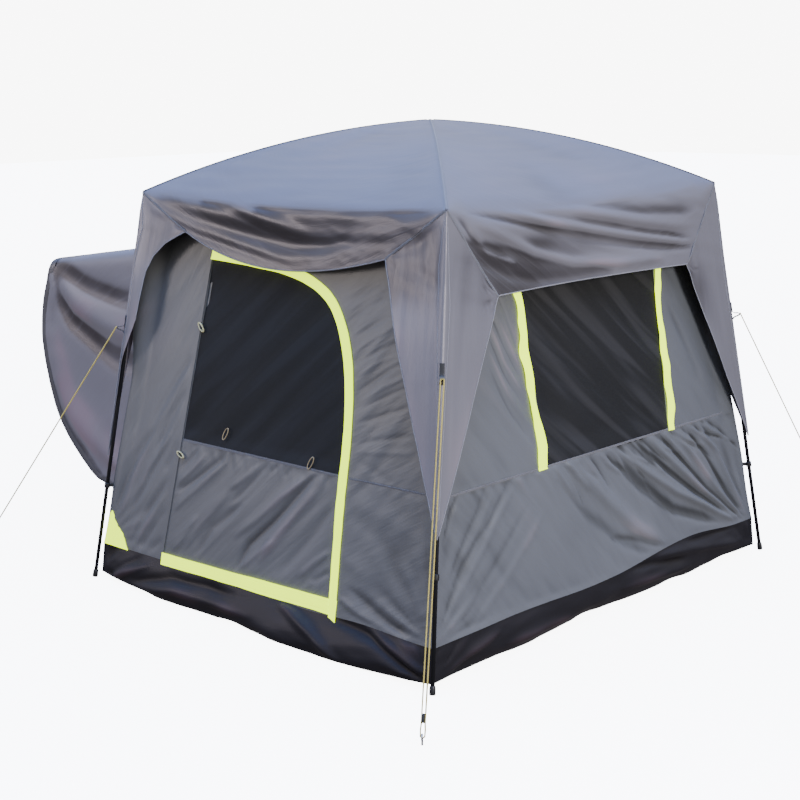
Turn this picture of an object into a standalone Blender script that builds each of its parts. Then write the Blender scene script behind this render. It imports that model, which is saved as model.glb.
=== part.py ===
"""Car tailgate tent: four steel legs and ribs, a hung inner tent, a fly over it and a sleeve for the car.

Metres, +Z up. The origin is on the ground under the middle of the tent. The door faces -Y,
the window +X, the car -X, and the +Y side repeats the window.
"""
import math

import bmesh
import bpy
from mathutils import Vector

# Driving dimensions
FOOT_X = 1.12
FOOT_Y = 1.26
EAVE_X = 0.95
EAVE_Y = 0.965
EAVE_HEIGHT = 1.88
PEAK_HEIGHT = 2.198
RIB_SLOPE = 0.0567
RIB_BOW = 0.1316
FIT_GAP = 0.0003
RUNNING_GAP = 0.006

LEG_RADIUS = 0.0095
FOOT_RADIUS = 0.0135
FOOT_TIP_HEIGHT = 0.04
LEG_TOP = 1.76
RIB_RADIUS = 0.008
RIDGE_FACTOR = 1.15
HUB_RADIUS = 0.034
HUB_HEIGHT = 0.026
HUB_CAP_DROP = 0.0068
TUBE_SIDES = 10

FABRIC = 0.003
TUB_HEIGHT = 0.17
WALL_FOOT_LIFT = 0.0019
WALL_OFFSET = 0.015
WALL_LEAN_IN = 0.052
WALL_TOP = 1.84
CEILING_PEAK = 2.115
CEILING_BOW = 1.3

EAVE_SAG = 0.03
ROOF_RINGS = 7
ROOF_STEPS = 8
TIP_HEIGHT = 0.61
WING_STEPS = 6
CORNER_DROP = 0.005
NOTCHES = {"door": (0.636, 1.687), "window": (0.70, 1.512), "back": (0.70, 1.512), "car": (0.885, 1.66)}
FOLDED_BACK_WING = [(0.636, 1.687), (0.77, 1.645), (0.85, 1.585), (0.895, 1.51), (0.925, 1.40), (0.955, 1.28),
                    (0.985, 1.17), (1.024, 1.06)]
VALANCE_MIDDLES = {"door": 1.579, "window": 1.52, "back": 1.52, "car": 1.67}

DOOR_HINGE_LOW = (-0.632, 0.190)
DOOR_HINGE_TOP = (-0.533, 1.607)
DOOR_ZIP = [(0.515, 0.205), (0.487, 0.62), (0.474, 0.95), (0.425, 1.22), (0.33, 1.41),
            (0.20, 1.51), (0.0, 1.567), (-0.25, 1.592), (-0.533, 1.607)]
DOOR_RECESS = 0.0055
WELT_RADIUS = 0.0035
SCREEN_SEAM = 0.745
ZIP_FLAP_HALF = 0.033

WINDOW_LOW = 0.738
WINDOW_TOP = 1.60
WINDOW_LEFT = (-0.39, -0.46)
WINDOW_RIGHT = (0.55, 0.553)
STRAP_WIDTH = 0.066

CAR_SILL = 0.30
CAR_TOP = 1.62
CAR_HALF_LOW = 0.95
CAR_HALF_TOP = 0.86
SLEEVE_HALF = 0.95
SLEEVE_HEM = [(-1.13, 0.30), (-1.41, 0.36), (-1.55, 0.41), (-1.80, 0.64), (-1.91, 0.96),
              (-1.91, 1.21), (-1.81, 1.50)]
SLEEVE_ROWS = 12

CLIP_HEIGHT = 0.46
CLIP_PLAY = 0.0014
TAB_HEIGHT = 1.23
TAB_LENGTH = 0.034
TAB_SIZE = (TAB_LENGTH, 0.003, 0.024)
GUY_RADIUS = 0.0015
GUY_SPREAD = 0.006
PEG_RADIUS = 0.004
PEG_RISE = 0.045
PEG_GRIP = 0.24
STAKES = {"front": (1.397, -1.624), "right": (1.55, 1.458), "rear": (-1.55, 1.74), "left": (-1.55, -1.74)}

# Where each corner and face lies
CORNERS = {"front": (1, -1), "right": (1, 1), "rear": (-1, 1), "left": (-1, -1)}
FACES = {
    "door": (Vector((1, 0, 0)), Vector((0, -1, 0)), 1),
    "window": (Vector((0, 1, 0)), Vector((1, 0, 0)), 0),
    "back": (Vector((-1, 0, 0)), Vector((0, 1, 0)), 1),
    "car": (Vector((0, -1, 0)), Vector((-1, 0, 0)), 0),
}
FOOT = (FOOT_X, FOOT_Y)
LEAN = ((FOOT_X - EAVE_X) / EAVE_HEIGHT, (FOOT_Y - EAVE_Y) / EAVE_HEIGHT)

COLOURS = {
    "steel": ((0.02, 0.021, 0.023), 0.35, 1.0),
    "cap": ((0.015, 0.015, 0.016), 0.5, 0.0),
    "fly": ((0.28, 0.27, 0.31), 0.55, 0.0),
    "wall": ((0.24, 0.23, 0.26), 0.55, 0.0),
    "tub": ((0.03, 0.031, 0.035), 0.5, 0.0),
    "screen": ((0.012, 0.012, 0.014), 0.8, 0.0),
    "neon": ((0.62, 0.78, 0.03), 0.5, 0.0),
    "cord": ((0.75, 0.66, 0.42), 0.7, 0.0),
    "webbing": ((0.015, 0.015, 0.016), 0.7, 0.0),
}


def clear_scene():
    for item in list(bpy.data.objects):
        bpy.data.objects.remove(item)


def material(kind):
    """The Principled material of one kind of stuff."""
    found = bpy.data.materials.get(kind)
    if found:
        return found
    colour, roughness, metallic = COLOURS[kind]
    made = bpy.data.materials.new(kind)
    made.use_nodes = True
    shader = made.node_tree.nodes["Principled BSDF"]
    shader.inputs["Base Color"].default_value = (*colour, 1.0)
    shader.inputs["Roughness"].default_value = roughness
    shader.inputs["Metallic"].default_value = metallic
    return made


def place(name, bm, kind, origin=(0, 0, 0)):
    """Turn a bmesh in world coordinates into a named object whose origin is given."""
    bm.normal_update()
    bmesh.ops.recalc_face_normals(bm, faces=bm.faces)
    if bm.calc_volume(signed=True) < 0:
        bmesh.ops.reverse_faces(bm, faces=bm.faces)
    bmesh.ops.translate(bm, verts=bm.verts, vec=-Vector(origin))
    mesh = bpy.data.meshes.new(name)
    bm.to_mesh(mesh)
    bm.free()
    mesh.materials.append(material(kind))
    made = bpy.data.objects.new(name, mesh)
    made.location = origin
    bpy.context.collection.objects.link(made)
    return made


def leg_half(axis, height):
    """Half span of the leg centre lines at a height."""
    return FOOT[axis] - LEAN[axis] * height


def fly_half(axis, height):
    """Half span of the fly's inner surface, which lies on the outside of the legs."""
    offset = (LEG_RADIUS + FIT_GAP) * math.hypot(1, LEAN[axis])
    return leg_half(axis, height) + offset


def wall_half(axis, height):
    """Half span of the outer surface of the inner tent."""
    return leg_half(axis, height) - WALL_OFFSET - WALL_LEAN_IN * (height - TUB_HEIGHT)


def on_face(face, across, height, half, shift=0.0):
    """A point of a side, given in that side's own across and height."""
    along, out, axis = FACES[face]
    point = along * across + out * (half(axis, height) + shift)
    return Vector((point.x, point.y, height))


def across_half(face, height, half):
    """Half width of a side at a height."""
    return half(1 - FACES[face][2], height)


def sheet_from_loops(name, face, loops, half, kind, shift=0.0, outward=True, origin=(0, 0, 0)):
    """A flat sheet of cloth of even thickness on one side, from outlines of which later ones are holes."""
    bm = bmesh.new()
    edges = []
    for loop in loops:
        verts = [bm.verts.new(on_face(face, across, height, half, shift)) for across, height in loop]
        edges += [bm.edges.new((verts[i - 1], verts[i])) for i in range(len(verts))]
    bmesh.ops.triangle_fill(bm, use_beauty=True, use_dissolve=False, edges=edges)
    out = FACES[face][1]
    for piece in bm.faces:
        piece.normal_update()
        if piece.normal.dot(out) < 0:
            piece.normal_flip()
    return thicken(name, bm, kind, outward, origin)


def sheet_from_rows(name, rows, out, kind, outward=True, closed=False):
    """A curved sheet of cloth of even thickness through rows of points."""
    bm = bmesh.new()
    grid = [[bm.verts.new(point) for point in row] for row in rows]
    for low, high in zip(grid, grid[1:]):
        steps = range(len(low)) if closed else range(1, len(low))
        for i in steps:
            bm.faces.new((low[i - 1], low[i], high[i], high[i - 1]))
    bm.normal_update()
    if sum((piece.normal * piece.calc_area() for piece in bm.faces), Vector()).dot(out) < 0:
        bmesh.ops.reverse_faces(bm, faces=bm.faces)
    return thicken(name, bm, kind, outward)


def thicken(name, bm, kind, outward=True, origin=(0, 0, 0)):
    """Give an open surface the cloth's thickness, on its outer or its inner side."""
    bm.normal_update()
    bmesh.ops.translate(bm, verts=bm.verts, vec=-Vector(origin))
    mesh = bpy.data.meshes.new(name)
    bm.to_mesh(mesh)
    bm.free()
    mesh.materials.append(material(kind))
    made = bpy.data.objects.new(name, mesh)
    made.location = origin
    bpy.context.collection.objects.link(made)
    solid = made.modifiers.new("cloth thickness", "SOLIDIFY")
    solid.thickness = FABRIC
    solid.offset = 1.0 if outward else -1.0
    solid.use_even_offset = True
    solid.use_quality_normals = True
    return made


def ring(bm, centre, normal, radius, sides=TUBE_SIDES):
    """A ring of vertices round a point."""
    normal = Vector(normal).normalized()
    first = normal.cross(Vector((0.31, 0.95, 0.02))).normalized()
    second = normal.cross(first)
    turn = 2 * math.pi / sides
    return [bm.verts.new(Vector(centre) + radius * (math.cos(i * turn) * first + math.sin(i * turn) * second))
            for i in range(sides)]


def rod(name, stations, kind, sides=TUBE_SIDES, closed=False):
    """A round rod through (centre, normal, radius) stations."""
    bm = bmesh.new()
    rings = [ring(bm, centre, normal, radius, sides) for centre, normal, radius in stations]
    pairs = list(zip(rings, rings[1:])) + ([(rings[-1], rings[0])] if closed else [])
    for low, high in pairs:
        for i in range(sides):
            bm.faces.new((low[i - 1], low[i], high[i], high[i - 1]))
    if not closed:
        bm.faces.new(rings[0])
        bm.faces.new(rings[-1])
    return place(name, bm, kind)


def smooth(points, steps):
    """Points along a smooth curve through the given ones."""
    knots = [Vector(p) for p in points]
    knots = [2 * knots[0] - knots[1]] + knots + [2 * knots[-1] - knots[-2]]
    result = []
    for a, b, c, d in zip(knots, knots[1:], knots[2:], knots[3:]):
        for i in range(steps):
            t = i / steps
            result.append(0.5 * (2 * b + (c - a) * t + (2 * a - 5 * b + 4 * c - d) * t ** 2
                                 + (3 * b - a - 3 * c + d) * t ** 3))
    return result + [knots[-2]]


def corner_point(corner, height, half):
    sign_x, sign_y = CORNERS[corner]
    return Vector((sign_x * half(0, height), sign_y * half(1, height), height))


# The frame: legs, ribs and the hub at the peak
def fly_height(radius):
    """Height of the fly's inner surface over a rib, at a distance from the middle."""
    return PEAK_HEIGHT - FABRIC - RIB_SLOPE * radius - RIB_BOW * radius ** 2


def eave_height():
    return fly_height(math.hypot(EAVE_X, EAVE_Y))


def roof_radius():
    return math.hypot(fly_half(0, eave_height()), fly_half(1, eave_height()))


def roof_height(share):
    """Height of the fly's inner surface over a rib, from 0 at the middle to 1 at the eave corner."""
    shift = eave_height() - fly_height(roof_radius())
    return fly_height(roof_radius() * share) + shift * share


def make_frame():
    rib_drop = RIB_RADIUS * RIDGE_FACTOR + 2 * FIT_GAP
    for corner in CORNERS:
        foot = corner_point(corner, 0, leg_half)
        top = corner_point(corner, LEG_TOP, leg_half)
        up = (top - foot).normalized()
        tip = foot + up * FOOT_TIP_HEIGHT
        rod("leg_" + corner, [
            (foot, (0, 0, 1), FOOT_RADIUS),
            (tip, up, FOOT_RADIUS),
            (tip, up, LEG_RADIUS),
            (top, up, LEG_RADIUS),
        ], "steel")
        shares = [k / ROOF_RINGS for k in range(ROOF_RINGS - 1, 0, -1)]
        shares.append((HUB_RADIUS + FIT_GAP) / roof_radius())
        outward = Vector((top.x, top.y, 0)).normalized()
        eave = corner_point(corner, eave_height(), fly_half)
        rib = [Vector((eave.x * s, eave.y * s, roof_height(s) - rib_drop)) for s in shares]
        low = top + up * FIT_GAP
        bend = corner_point(corner, 1.80, leg_half)
        turn = [bend * (1 - t) ** 2 + 2 * t * (1 - t) * corner_point(corner, 1.852, leg_half) + rib[0] * t ** 2
                for t in (0.0, 0.25, 0.5, 0.75)]
        path = [low] + turn + rib
        stations = []
        for i, point in enumerate(path):
            before = path[max(i - 1, 0)]
            after = path[min(i + 1, len(path) - 1)]
            stations.append((point, after - before, RIB_RADIUS))
        stations[-1] = (path[-1], outward, RIB_RADIUS)
        rod("roof_pole_" + corner, stations, "steel")
    hub_centre = roof_height(HUB_RADIUS / roof_radius()) - rib_drop
    hub_top = roof_height(0) - HUB_CAP_DROP
    rod("apex_hub", [
        ((0, 0, hub_centre - HUB_HEIGHT / 2), (0, 0, 1), HUB_RADIUS * 0.85),
        ((0, 0, hub_centre - HUB_HEIGHT / 3), (0, 0, 1), HUB_RADIUS),
        ((0, 0, hub_centre + HUB_HEIGHT / 7), (0, 0, 1), HUB_RADIUS),
        ((0, 0, hub_top), (0, 0, 1), HUB_RADIUS * 0.8),
    ], "cap", sides=16)


# The tub floor, a bath of cloth with its walls turned up
def make_tub():
    def outline(inset_x, inset_y, height, half, corner_round):
        half_x = half(0, height) - inset_x
        half_y = half(1, height) - inset_y
        points = []
        for quarter in range(4):
            angle = quarter * math.pi / 2
            sign_x = 1 if quarter in (0, 3) else -1
            sign_y = 1 if quarter in (0, 1) else -1
            centre = Vector((sign_x * (half_x - corner_round), sign_y * (half_y - corner_round), height))
            for step in range(4):
                a = angle + step * math.pi / 6
                points.append(centre + corner_round * Vector((math.cos(a), math.sin(a), 0)))
        return points

    rows = [
        outline(0.14, 0.07, 0.0, wall_half, 0.10),
        outline(0.095, 0.035, 0.0, wall_half, 0.08),
        outline(0.07, 0.018, 0.03, wall_half, 0.06),
        outline(0.018, 0.004, 0.11, wall_half, 0.03),
        outline(0.0, 0.0, TUB_HEIGHT, wall_half, 0.004),
    ]
    bm = bmesh.new()
    grid = [[bm.verts.new(point) for point in row] for row in rows]
    bm.faces.new(grid[0])
    for low, high in zip(grid, grid[1:]):
        for i in range(len(low)):
            bm.faces.new((low[i - 1], low[i], high[i], high[i - 1]))
    bmesh.ops.recalc_face_normals(bm, faces=bm.faces)
    bm.faces.ensure_lookup_table()
    bm.normal_update()
    if bm.faces[0].normal.z > 0:
        bmesh.ops.reverse_faces(bm, faces=bm.faces)
    thicken("floor_tub", bm, "tub", outward=False)


# The inner tent's walls
def door_line(height):
    """Across position of the door's sewn edge at a height."""
    low, top = Vector(DOOR_HINGE_LOW), Vector(DOOR_HINGE_TOP)
    return low.x + (top.x - low.x) * (height - low.y) / (top.y - low.y)


def offset_curve(curve, distance):
    """The same curve moved to its right by a distance."""
    moved = []
    for i, point in enumerate(curve):
        tangent = (curve[min(i + 1, len(curve) - 1)] - curve[max(i - 1, 0)]).normalized()
        moved.append(point + distance * Vector((tangent.y, -tangent.x)))
    return moved


def wall_edge(face, height, trimmed):
    return across_half(face, height, wall_half) - (FABRIC + FIT_GAP) * 1.05 * trimmed


def make_door_side():
    zip_line = smooth(DOOR_ZIP, 3)
    rim = offset_curve(zip_line, RUNNING_GAP)
    low = TUB_HEIGHT + WALL_FOOT_LIFT
    sill_left = door_line(low)
    hinge_foot = DOOR_HINGE_LOW[1] - RUNNING_GAP
    sheet_from_loops("door_wall_left", "door", [[
        (-wall_edge("door", low, 0), low),
        (sill_left, low),
        (door_line(WALL_TOP), WALL_TOP),
        (-wall_edge("door", WALL_TOP, 0), WALL_TOP),
    ]], wall_half, "wall", outward=False)
    split = next(i for i, point in enumerate(rim) if point.x < 0.30)
    right_edge = [tuple(point) for point in rim[:split + 1]]
    top_edge = [tuple(point) for point in rim[split:]]
    seam_height = right_edge[-1][1]
    sheet_from_loops("door_wall_right", "door", [
        [(right_edge[0][0], low), (wall_edge("door", low, 0), low),
         (wall_edge("door", seam_height, 0), seam_height)] + right_edge[::-1]
    ], wall_half, "wall", outward=False)
    lift = 2 * FIT_GAP
    hinge_side = DOOR_HINGE_TOP[0]
    over = [(max(x, hinge_side), height) for x, height in top_edge]
    over[0] = (over[0][0], seam_height + lift)
    sheet_from_loops("door_wall_top", "door", [
        [(wall_edge("door", seam_height + lift, 0), seam_height + lift),
         (wall_edge("door", WALL_TOP, 0), WALL_TOP),
         (door_line(WALL_TOP) + lift, WALL_TOP),
         (door_line(over[-1][1]) + lift, over[-1][1])] + over[::-1]
    ], wall_half, "wall", outward=False)
    sheet_from_loops("door_sill", "door", [[
        (sill_left + lift, low),
        (right_edge[0][0] - lift, low),
        (right_edge[0][0] - lift, DOOR_ZIP[0][1] - RUNNING_GAP),
        (door_line(hinge_foot) + lift, hinge_foot),
    ]], wall_half, "wall", outward=False)
    make_door(zip_line)
    make_zip_flap(zip_line)


def make_door(zip_line):
    """The door turns on the sewn welt along its straight edge, which its cloth almost touches."""
    depth = -(DOOR_RECESS + FABRIC / 2)
    hinge = on_face("door", *DOOR_HINGE_LOW, wall_half, depth)
    hinge_top = on_face("door", *DOOR_HINGE_TOP, wall_half, depth)
    axis = (hinge_top - hinge).normalized()
    rod("door_welt", [(hinge, axis, WELT_RADIUS), (hinge_top, axis, WELT_RADIUS)], "wall")
    seat = WELT_RADIUS + FIT_GAP
    below = [tuple(point) for point in zip_line if point.y < SCREEN_SEAM]
    above = [tuple(point) for point in zip_line if point.y > SCREEN_SEAM]
    x_low, z_low = below[-1]
    x_high, z_high = above[0]
    share = (SCREEN_SEAM - z_low) / (z_high - z_low)
    seam_right = x_low + (x_high - x_low) * share
    sheet_from_loops("door_panel", "door", [
        [(DOOR_HINGE_LOW[0] + seat, DOOR_HINGE_LOW[1])] + below
        + [(seam_right, SCREEN_SEAM), (door_line(SCREEN_SEAM) + seat, SCREEN_SEAM)]
    ], wall_half, "wall", -DOOR_RECESS, False, hinge)
    seam = SCREEN_SEAM + FIT_GAP
    sheet_from_loops("door_screen", "door", [
        [(door_line(seam) + seat, seam), (seam_right, seam)] + above[:-1]
        + [(above[-1][0] + seat, above[-1][1])]
    ], wall_half, "screen", -DOOR_RECESS, False, hinge)


def make_zip_flap(zip_line):
    """The bright band that covers the zip along the door's top, free side and foot."""
    inner = [tuple(point) for point in offset_curve(zip_line, -ZIP_FLAP_HALF)]
    outer = [tuple(point) for point in offset_curve(zip_line, ZIP_FLAP_HALF)]
    foot_left, foot_height = DOOR_HINGE_LOW
    band = [(foot_left, foot_height - 0.03), (foot_left, foot_height + 0.02)]
    corner = (inner[0][0], DOOR_ZIP[0][1] + 0.036)
    tip = (outer[0][0], DOOR_ZIP[0][1] - 0.028)
    foot_right = (inner[0][0], DOOR_ZIP[0][1] - 0.012)
    keep = [point for point in inner if point[1] > corner[1] + 0.01]
    sheet_from_loops("door_zip_flap", "door", [
        band + [corner] + keep + outer[::-1] + [tip, foot_right]
    ], wall_half, "neon", FIT_GAP * 1.1)


def make_window_side(face, mirror):
    low = TUB_HEIGHT + WALL_FOOT_LIFT
    left = (WINDOW_LEFT if mirror > 0 else (-WINDOW_RIGHT[0], -WINDOW_RIGHT[1]))
    right = (WINDOW_RIGHT if mirror > 0 else (-WINDOW_LEFT[0], -WINDOW_LEFT[1]))

    def across(pair, height):
        return pair[0] + (pair[1] - pair[0]) * (height - WINDOW_LOW) / (WINDOW_TOP - WINDOW_LOW)

    def window(grow):
        bottom, top = WINDOW_LOW - grow, WINDOW_TOP + grow
        return [(across(left, bottom) - grow, bottom), (across(right, bottom) + grow, bottom),
                (across(right, top) + grow, top), (across(left, top) - grow, top)]

    sheet_from_loops(face + "_wall", face, [
        [(-wall_edge(face, low, 1), low), (wall_edge(face, low, 1), low),
         (wall_edge(face, WALL_TOP, 1), WALL_TOP), (-wall_edge(face, WALL_TOP, 1), WALL_TOP)],
        window(0.0),
    ], wall_half, "wall", outward=False)
    sheet_from_loops(face + "_screen", face, [window(-FIT_GAP)], wall_half, "screen", outward=False)
    for side, pair, step in (("left", left, -1), ("right", right, 1)):
        near = 0.004 * step
        far = (0.004 + STRAP_WIDTH) * step
        sheet_from_loops(face + "_strap_" + side, face, [[
            (across(pair, WINDOW_LOW) + near, WINDOW_LOW), (across(pair, WINDOW_LOW) + far, WINDOW_LOW),
            (across(pair, WINDOW_TOP) + far, WINDOW_TOP), (across(pair, WINDOW_TOP) + near, WINDOW_TOP),
        ]], wall_half, "neon", FIT_GAP * 1.1)


# The side towards the car, with its opening and the sleeve
def opening_half(height):
    return CAR_HALF_LOW + (CAR_HALF_TOP - CAR_HALF_LOW) * (height - CAR_SILL) / (CAR_TOP - CAR_SILL)


def make_car_side():
    low = TUB_HEIGHT + WALL_FOOT_LIFT
    sheet_from_loops("car_wall", "car", [
        [(-wall_edge("car", low, 1), low), (wall_edge("car", low, 1), low),
         (wall_edge("car", WALL_TOP, 1), WALL_TOP), (-wall_edge("car", WALL_TOP, 1), WALL_TOP)],
        [(-opening_half(CAR_SILL), CAR_SILL), (opening_half(CAR_SILL), CAR_SILL),
         (opening_half(CAR_TOP), CAR_TOP), (-opening_half(CAR_TOP), CAR_TOP)],
    ], wall_half, "wall", outward=False)

    hem = smooth([(x, height) for x, height in SLEEVE_HEM], 4)
    count = len(hem)
    seam_gap = FIT_GAP * 1.2
    for name, sign in (("sleeve_near_side", -1), ("sleeve_far_side", 1)):
        rows = []
        for i, point in enumerate(hem):
            share = i / (count - 1)
            height = CAR_SILL + (CAR_TOP - CAR_SILL) * share
            half = SLEEVE_HALF + (opening_half(CAR_SILL) - SLEEVE_HALF) * (1 - share)
            base = Vector((-wall_half(0, height) - seam_gap, sign * opening_half(height), height))
            end = Vector((point.x, sign * half, point.y))
            rows.append([base.lerp(end, j / 6) for j in range(7)])
        sheet_from_rows(name, rows, Vector((0, sign, 0)), "wall")
    lift = Vector((0, 0, FIT_GAP * 1.3))
    rows = []
    for j in range(7):
        share = j / 6
        base_x = -wall_half(0, CAR_TOP) - seam_gap
        end_x, end_z = SLEEVE_HEM[-1]
        x = base_x + (end_x - base_x) * share
        z = CAR_TOP + (end_z - CAR_TOP) * share
        half = CAR_HALF_TOP + (SLEEVE_HALF - CAR_HALF_TOP) * share
        rows.append([Vector((x, half * (k / 4 - 1), z)) + lift for k in range(9)])
    sheet_from_rows("sleeve_top", rows, Vector((0, 0, 1)), "wall")


# The ceiling of the inner tent and the fly's roof are low pyramids with bowed ribs
def pyramid_rows(half_x, half_y, height_at, rings, steps, sag):
    """Closed rows of points from near the middle to the eaves, one row a ring."""
    corners = [(1, -1), (1, 1), (-1, 1), (-1, -1)]
    rows = []
    for k in range(1, rings + 1):
        share = k / rings
        row = []
        for (ax, ay), (bx, by) in zip(corners, corners[1:] + corners[:1]):
            for i in range(steps):
                t = i / steps
                x = (ax + (bx - ax) * t) * half_x * share
                y = (ay + (by - ay) * t) * half_y * share
                drop = sag * share * 4 * t * (1 - t)
                row.append(Vector((x, y, height_at(share) - drop)))
        rows.append(row)
    return rows


def make_pyramid(name, rows, peak, kind):
    bm = bmesh.new()
    grid = [[bm.verts.new(point) for point in row] for row in rows]
    top = bm.verts.new(Vector((0, 0, peak)))
    first = grid[0]
    for i in range(len(first)):
        bm.faces.new((first[i - 1], first[i], top))
    for low, high in zip(grid, grid[1:]):
        for i in range(len(low)):
            bm.faces.new((low[i - 1], low[i], high[i], high[i - 1]))
    bmesh.ops.recalc_face_normals(bm, faces=bm.faces)
    if sum(piece.normal.z for piece in bm.faces) < 0:
        bmesh.ops.reverse_faces(bm, faces=bm.faces)
    thicken(name, bm, kind)


def make_ceiling():
    edge_x = wall_half(0, WALL_TOP)
    edge_y = wall_half(1, WALL_TOP)
    base = WALL_TOP + FIT_GAP
    rise = CEILING_PEAK - base
    rows = pyramid_rows(edge_x, edge_y, lambda s: base + rise * (1 - s ** CEILING_BOW), 4, 4, 0.0)
    make_pyramid("inner_ceiling", rows, CEILING_PEAK, "wall")


def eave_point(face, across_share):
    """A point of the eave line, which sags between the corners."""
    height = eave_height() - EAVE_SAG * (1 - across_share ** 2)
    across = across_share * across_half(face, eave_height(), fly_half)
    return across, height


def make_fly():
    edge_x = fly_half(0, eave_height())
    edge_y = fly_half(1, eave_height())
    rows = pyramid_rows(edge_x, edge_y, roof_height, ROOF_RINGS, ROOF_STEPS, EAVE_SAG)
    make_pyramid("fly_roof", rows, roof_height(0), "fly")
    for face in FACES:
        make_valance(face)
    for corner in CORNERS:
        make_leg_panel(corner)


def make_valance(face):
    notch_across, notch_height = NOTCHES[face]
    middle = VALANCE_MIDDLES[face]
    top = []
    for i in range(ROOF_STEPS + 1):
        across, height = eave_point(face, 2 * i / ROOF_STEPS - 1)
        top.append((across * 0.9994, height - FIT_GAP * 1.5))
    bottom = []
    for i in range(ROOF_STEPS + 1):
        share = 1 - 2 * i / ROOF_STEPS
        bottom.append((notch_across * share, middle + (notch_height - middle) * share ** 2))
    sheet_from_loops(face + "_valance", face, [top + bottom], fly_half, "fly")


def free_edge(corner, face):
    """The free edge of one side of a corner piece, from the notch down, as across and height."""
    if (corner, face) == ("left", "door"):
        return FOLDED_BACK_WING
    notch_across, notch_height = NOTCHES[face]
    tip_across = across_half(face, TIP_HEIGHT, fly_half) - 0.004
    tip_height = TIP_HEIGHT + 0.002
    return [(notch_across + (tip_across - notch_across) * i / WING_STEPS,
             notch_height + (tip_height - notch_height) * i / WING_STEPS) for i in range(WING_STEPS + 1)]


def make_leg_panel(corner):
    """The fly's corner piece: a triangle on each side of the leg, down to one tip."""
    signs = CORNERS[corner]
    bm = bmesh.new()
    top_height = eave_height() - CORNER_DROP
    fold_end = FOLDED_BACK_WING[-1][1]
    heights = [top_height + (fold_end - top_height) * i / WING_STEPS for i in range(WING_STEPS)]
    heights += [fold_end + (TIP_HEIGHT - fold_end) * i / 3 for i in range(4)]
    spine = [bm.verts.new(corner_point(corner, height, fly_half)) for height in heights]
    for axis in (0, 1):
        face = next(key for key, (_, out, face_axis) in FACES.items()
                    if face_axis == axis and out[axis] == signs[axis])
        points = []
        for across, height in free_edge(corner, face):
            point = Vector((0.0, 0.0, height))
            point[axis] = signs[axis] * fly_half(axis, height)
            point[1 - axis] = signs[1 - axis] * (across + FIT_GAP * 1.5)
            points.append(point)
        folded = points[-1].z > TIP_HEIGHT + 0.1
        used = spine[:WING_STEPS + 1] if folded else spine
        if folded:
            points = points[:-1]
        edge = [bm.verts.new(point) for point in points]
        bm.faces.new(used + edge[::-1])
    bmesh.ops.triangulate(bm, faces=bm.faces)
    bmesh.ops.recalc_face_normals(bm, faces=bm.faces)
    out = Vector((*signs, 0))
    if sum((piece.normal * piece.calc_area() for piece in bm.faces), Vector()).dot(out) < 0:
        bmesh.ops.reverse_faces(bm, faces=bm.faces)
    thicken("leg_panel_" + corner, bm, "fly")


# Clips, tabs, guy lines and pegs
def block(name, centre, forward, up, size, kind):
    """A small box with its length along forward and its height along up."""
    forward = Vector(forward).normalized()
    up = (Vector(up) - Vector(up).project(forward)).normalized()
    side = up.cross(forward)
    bm = bmesh.new()
    bmesh.ops.create_cube(bm, size=1.0)
    for vert in bm.verts:
        x, y, z = vert.co.x * size[0], vert.co.y * size[1], vert.co.z * size[2]
        vert.co = Vector(centre) + forward * x + side * y + up * z
    return place(name, bm, kind)


def make_ties():
    for corner in CORNERS:
        foot = corner_point(corner, 0, leg_half)
        up = (corner_point(corner, 1, leg_half) - foot).normalized()
        leg = corner_point(corner, CLIP_HEIGHT, leg_half)
        wall = corner_point(corner, CLIP_HEIGHT, wall_half)
        inward = wall - leg
        inward = (inward - inward.project(up)).normalized()
        reach = (wall - leg).dot(inward)
        start = LEG_RADIUS + FIT_GAP
        length = reach - start - CLIP_PLAY
        block("leg_clip_" + corner, leg + inward * (start + length / 2), inward, up, (length, 0.012, 0.010), "cap")

        edge = corner_point(corner, TAB_HEIGHT, fly_half)
        out = Vector((CORNERS[corner][0], CORNERS[corner][1], 0))
        out = (out - out.project(up)).normalized()
        skin = FABRIC * math.sqrt(2) + FIT_GAP
        block("guy_tab_" + corner, edge + out * (skin + TAB_LENGTH / 2), out, up, TAB_SIZE, "webbing")
        make_guy(corner, edge + out * (skin + TAB_LENGTH), out)


def make_guy(corner, tab_end, out):
    """A doubled cord from the tab to the peg, one closed loop, and the peg's part above ground."""
    stake = Vector((*STAKES[corner], 0))
    hook = stake + Vector((0, 0, PEG_RISE * PEG_GRIP))
    start = tab_end + out * (GUY_RADIUS + 2 * FIT_GAP)
    line = (hook - start).normalized()
    side = line.cross(Vector((0, 0, 1))).normalized() * GUY_SPREAD
    end = hook - line * (PEG_RADIUS + GUY_RADIUS + FIT_GAP) / math.hypot(line.x, line.y)
    path = [start - side, start + line * 0.006 - side * 1.6, end - line * 0.01 - side * 1.2, end - side * 0.5,
            end + side * 0.5, end - line * 0.01 + side * 1.2, start + line * 0.006 + side * 1.6, start + side]
    stations = []
    for i, point in enumerate(path):
        after = path[(i + 1) % len(path)]
        stations.append((point, after - path[i - 1], GUY_RADIUS))
    tube_loop("guy_line_" + corner, stations)
    lean = Vector((stake.x, stake.y, 0)).normalized()
    rod("guy_peg_" + corner, [
        (stake, (0, 0, 1), PEG_RADIUS),
        (stake + Vector((0, 0, PEG_RISE * 0.7)), (0, 0, 1), PEG_RADIUS),
        (stake + Vector((0, 0, PEG_RISE)) + lean * 0.008, Vector((lean.x, lean.y, 0.3)), PEG_RADIUS),
        (stake + Vector((0, 0, PEG_RISE)) + lean * 0.026, Vector((lean.x, lean.y, -0.4)), PEG_RADIUS * 0.9),
    ], "steel", sides=8)


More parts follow.
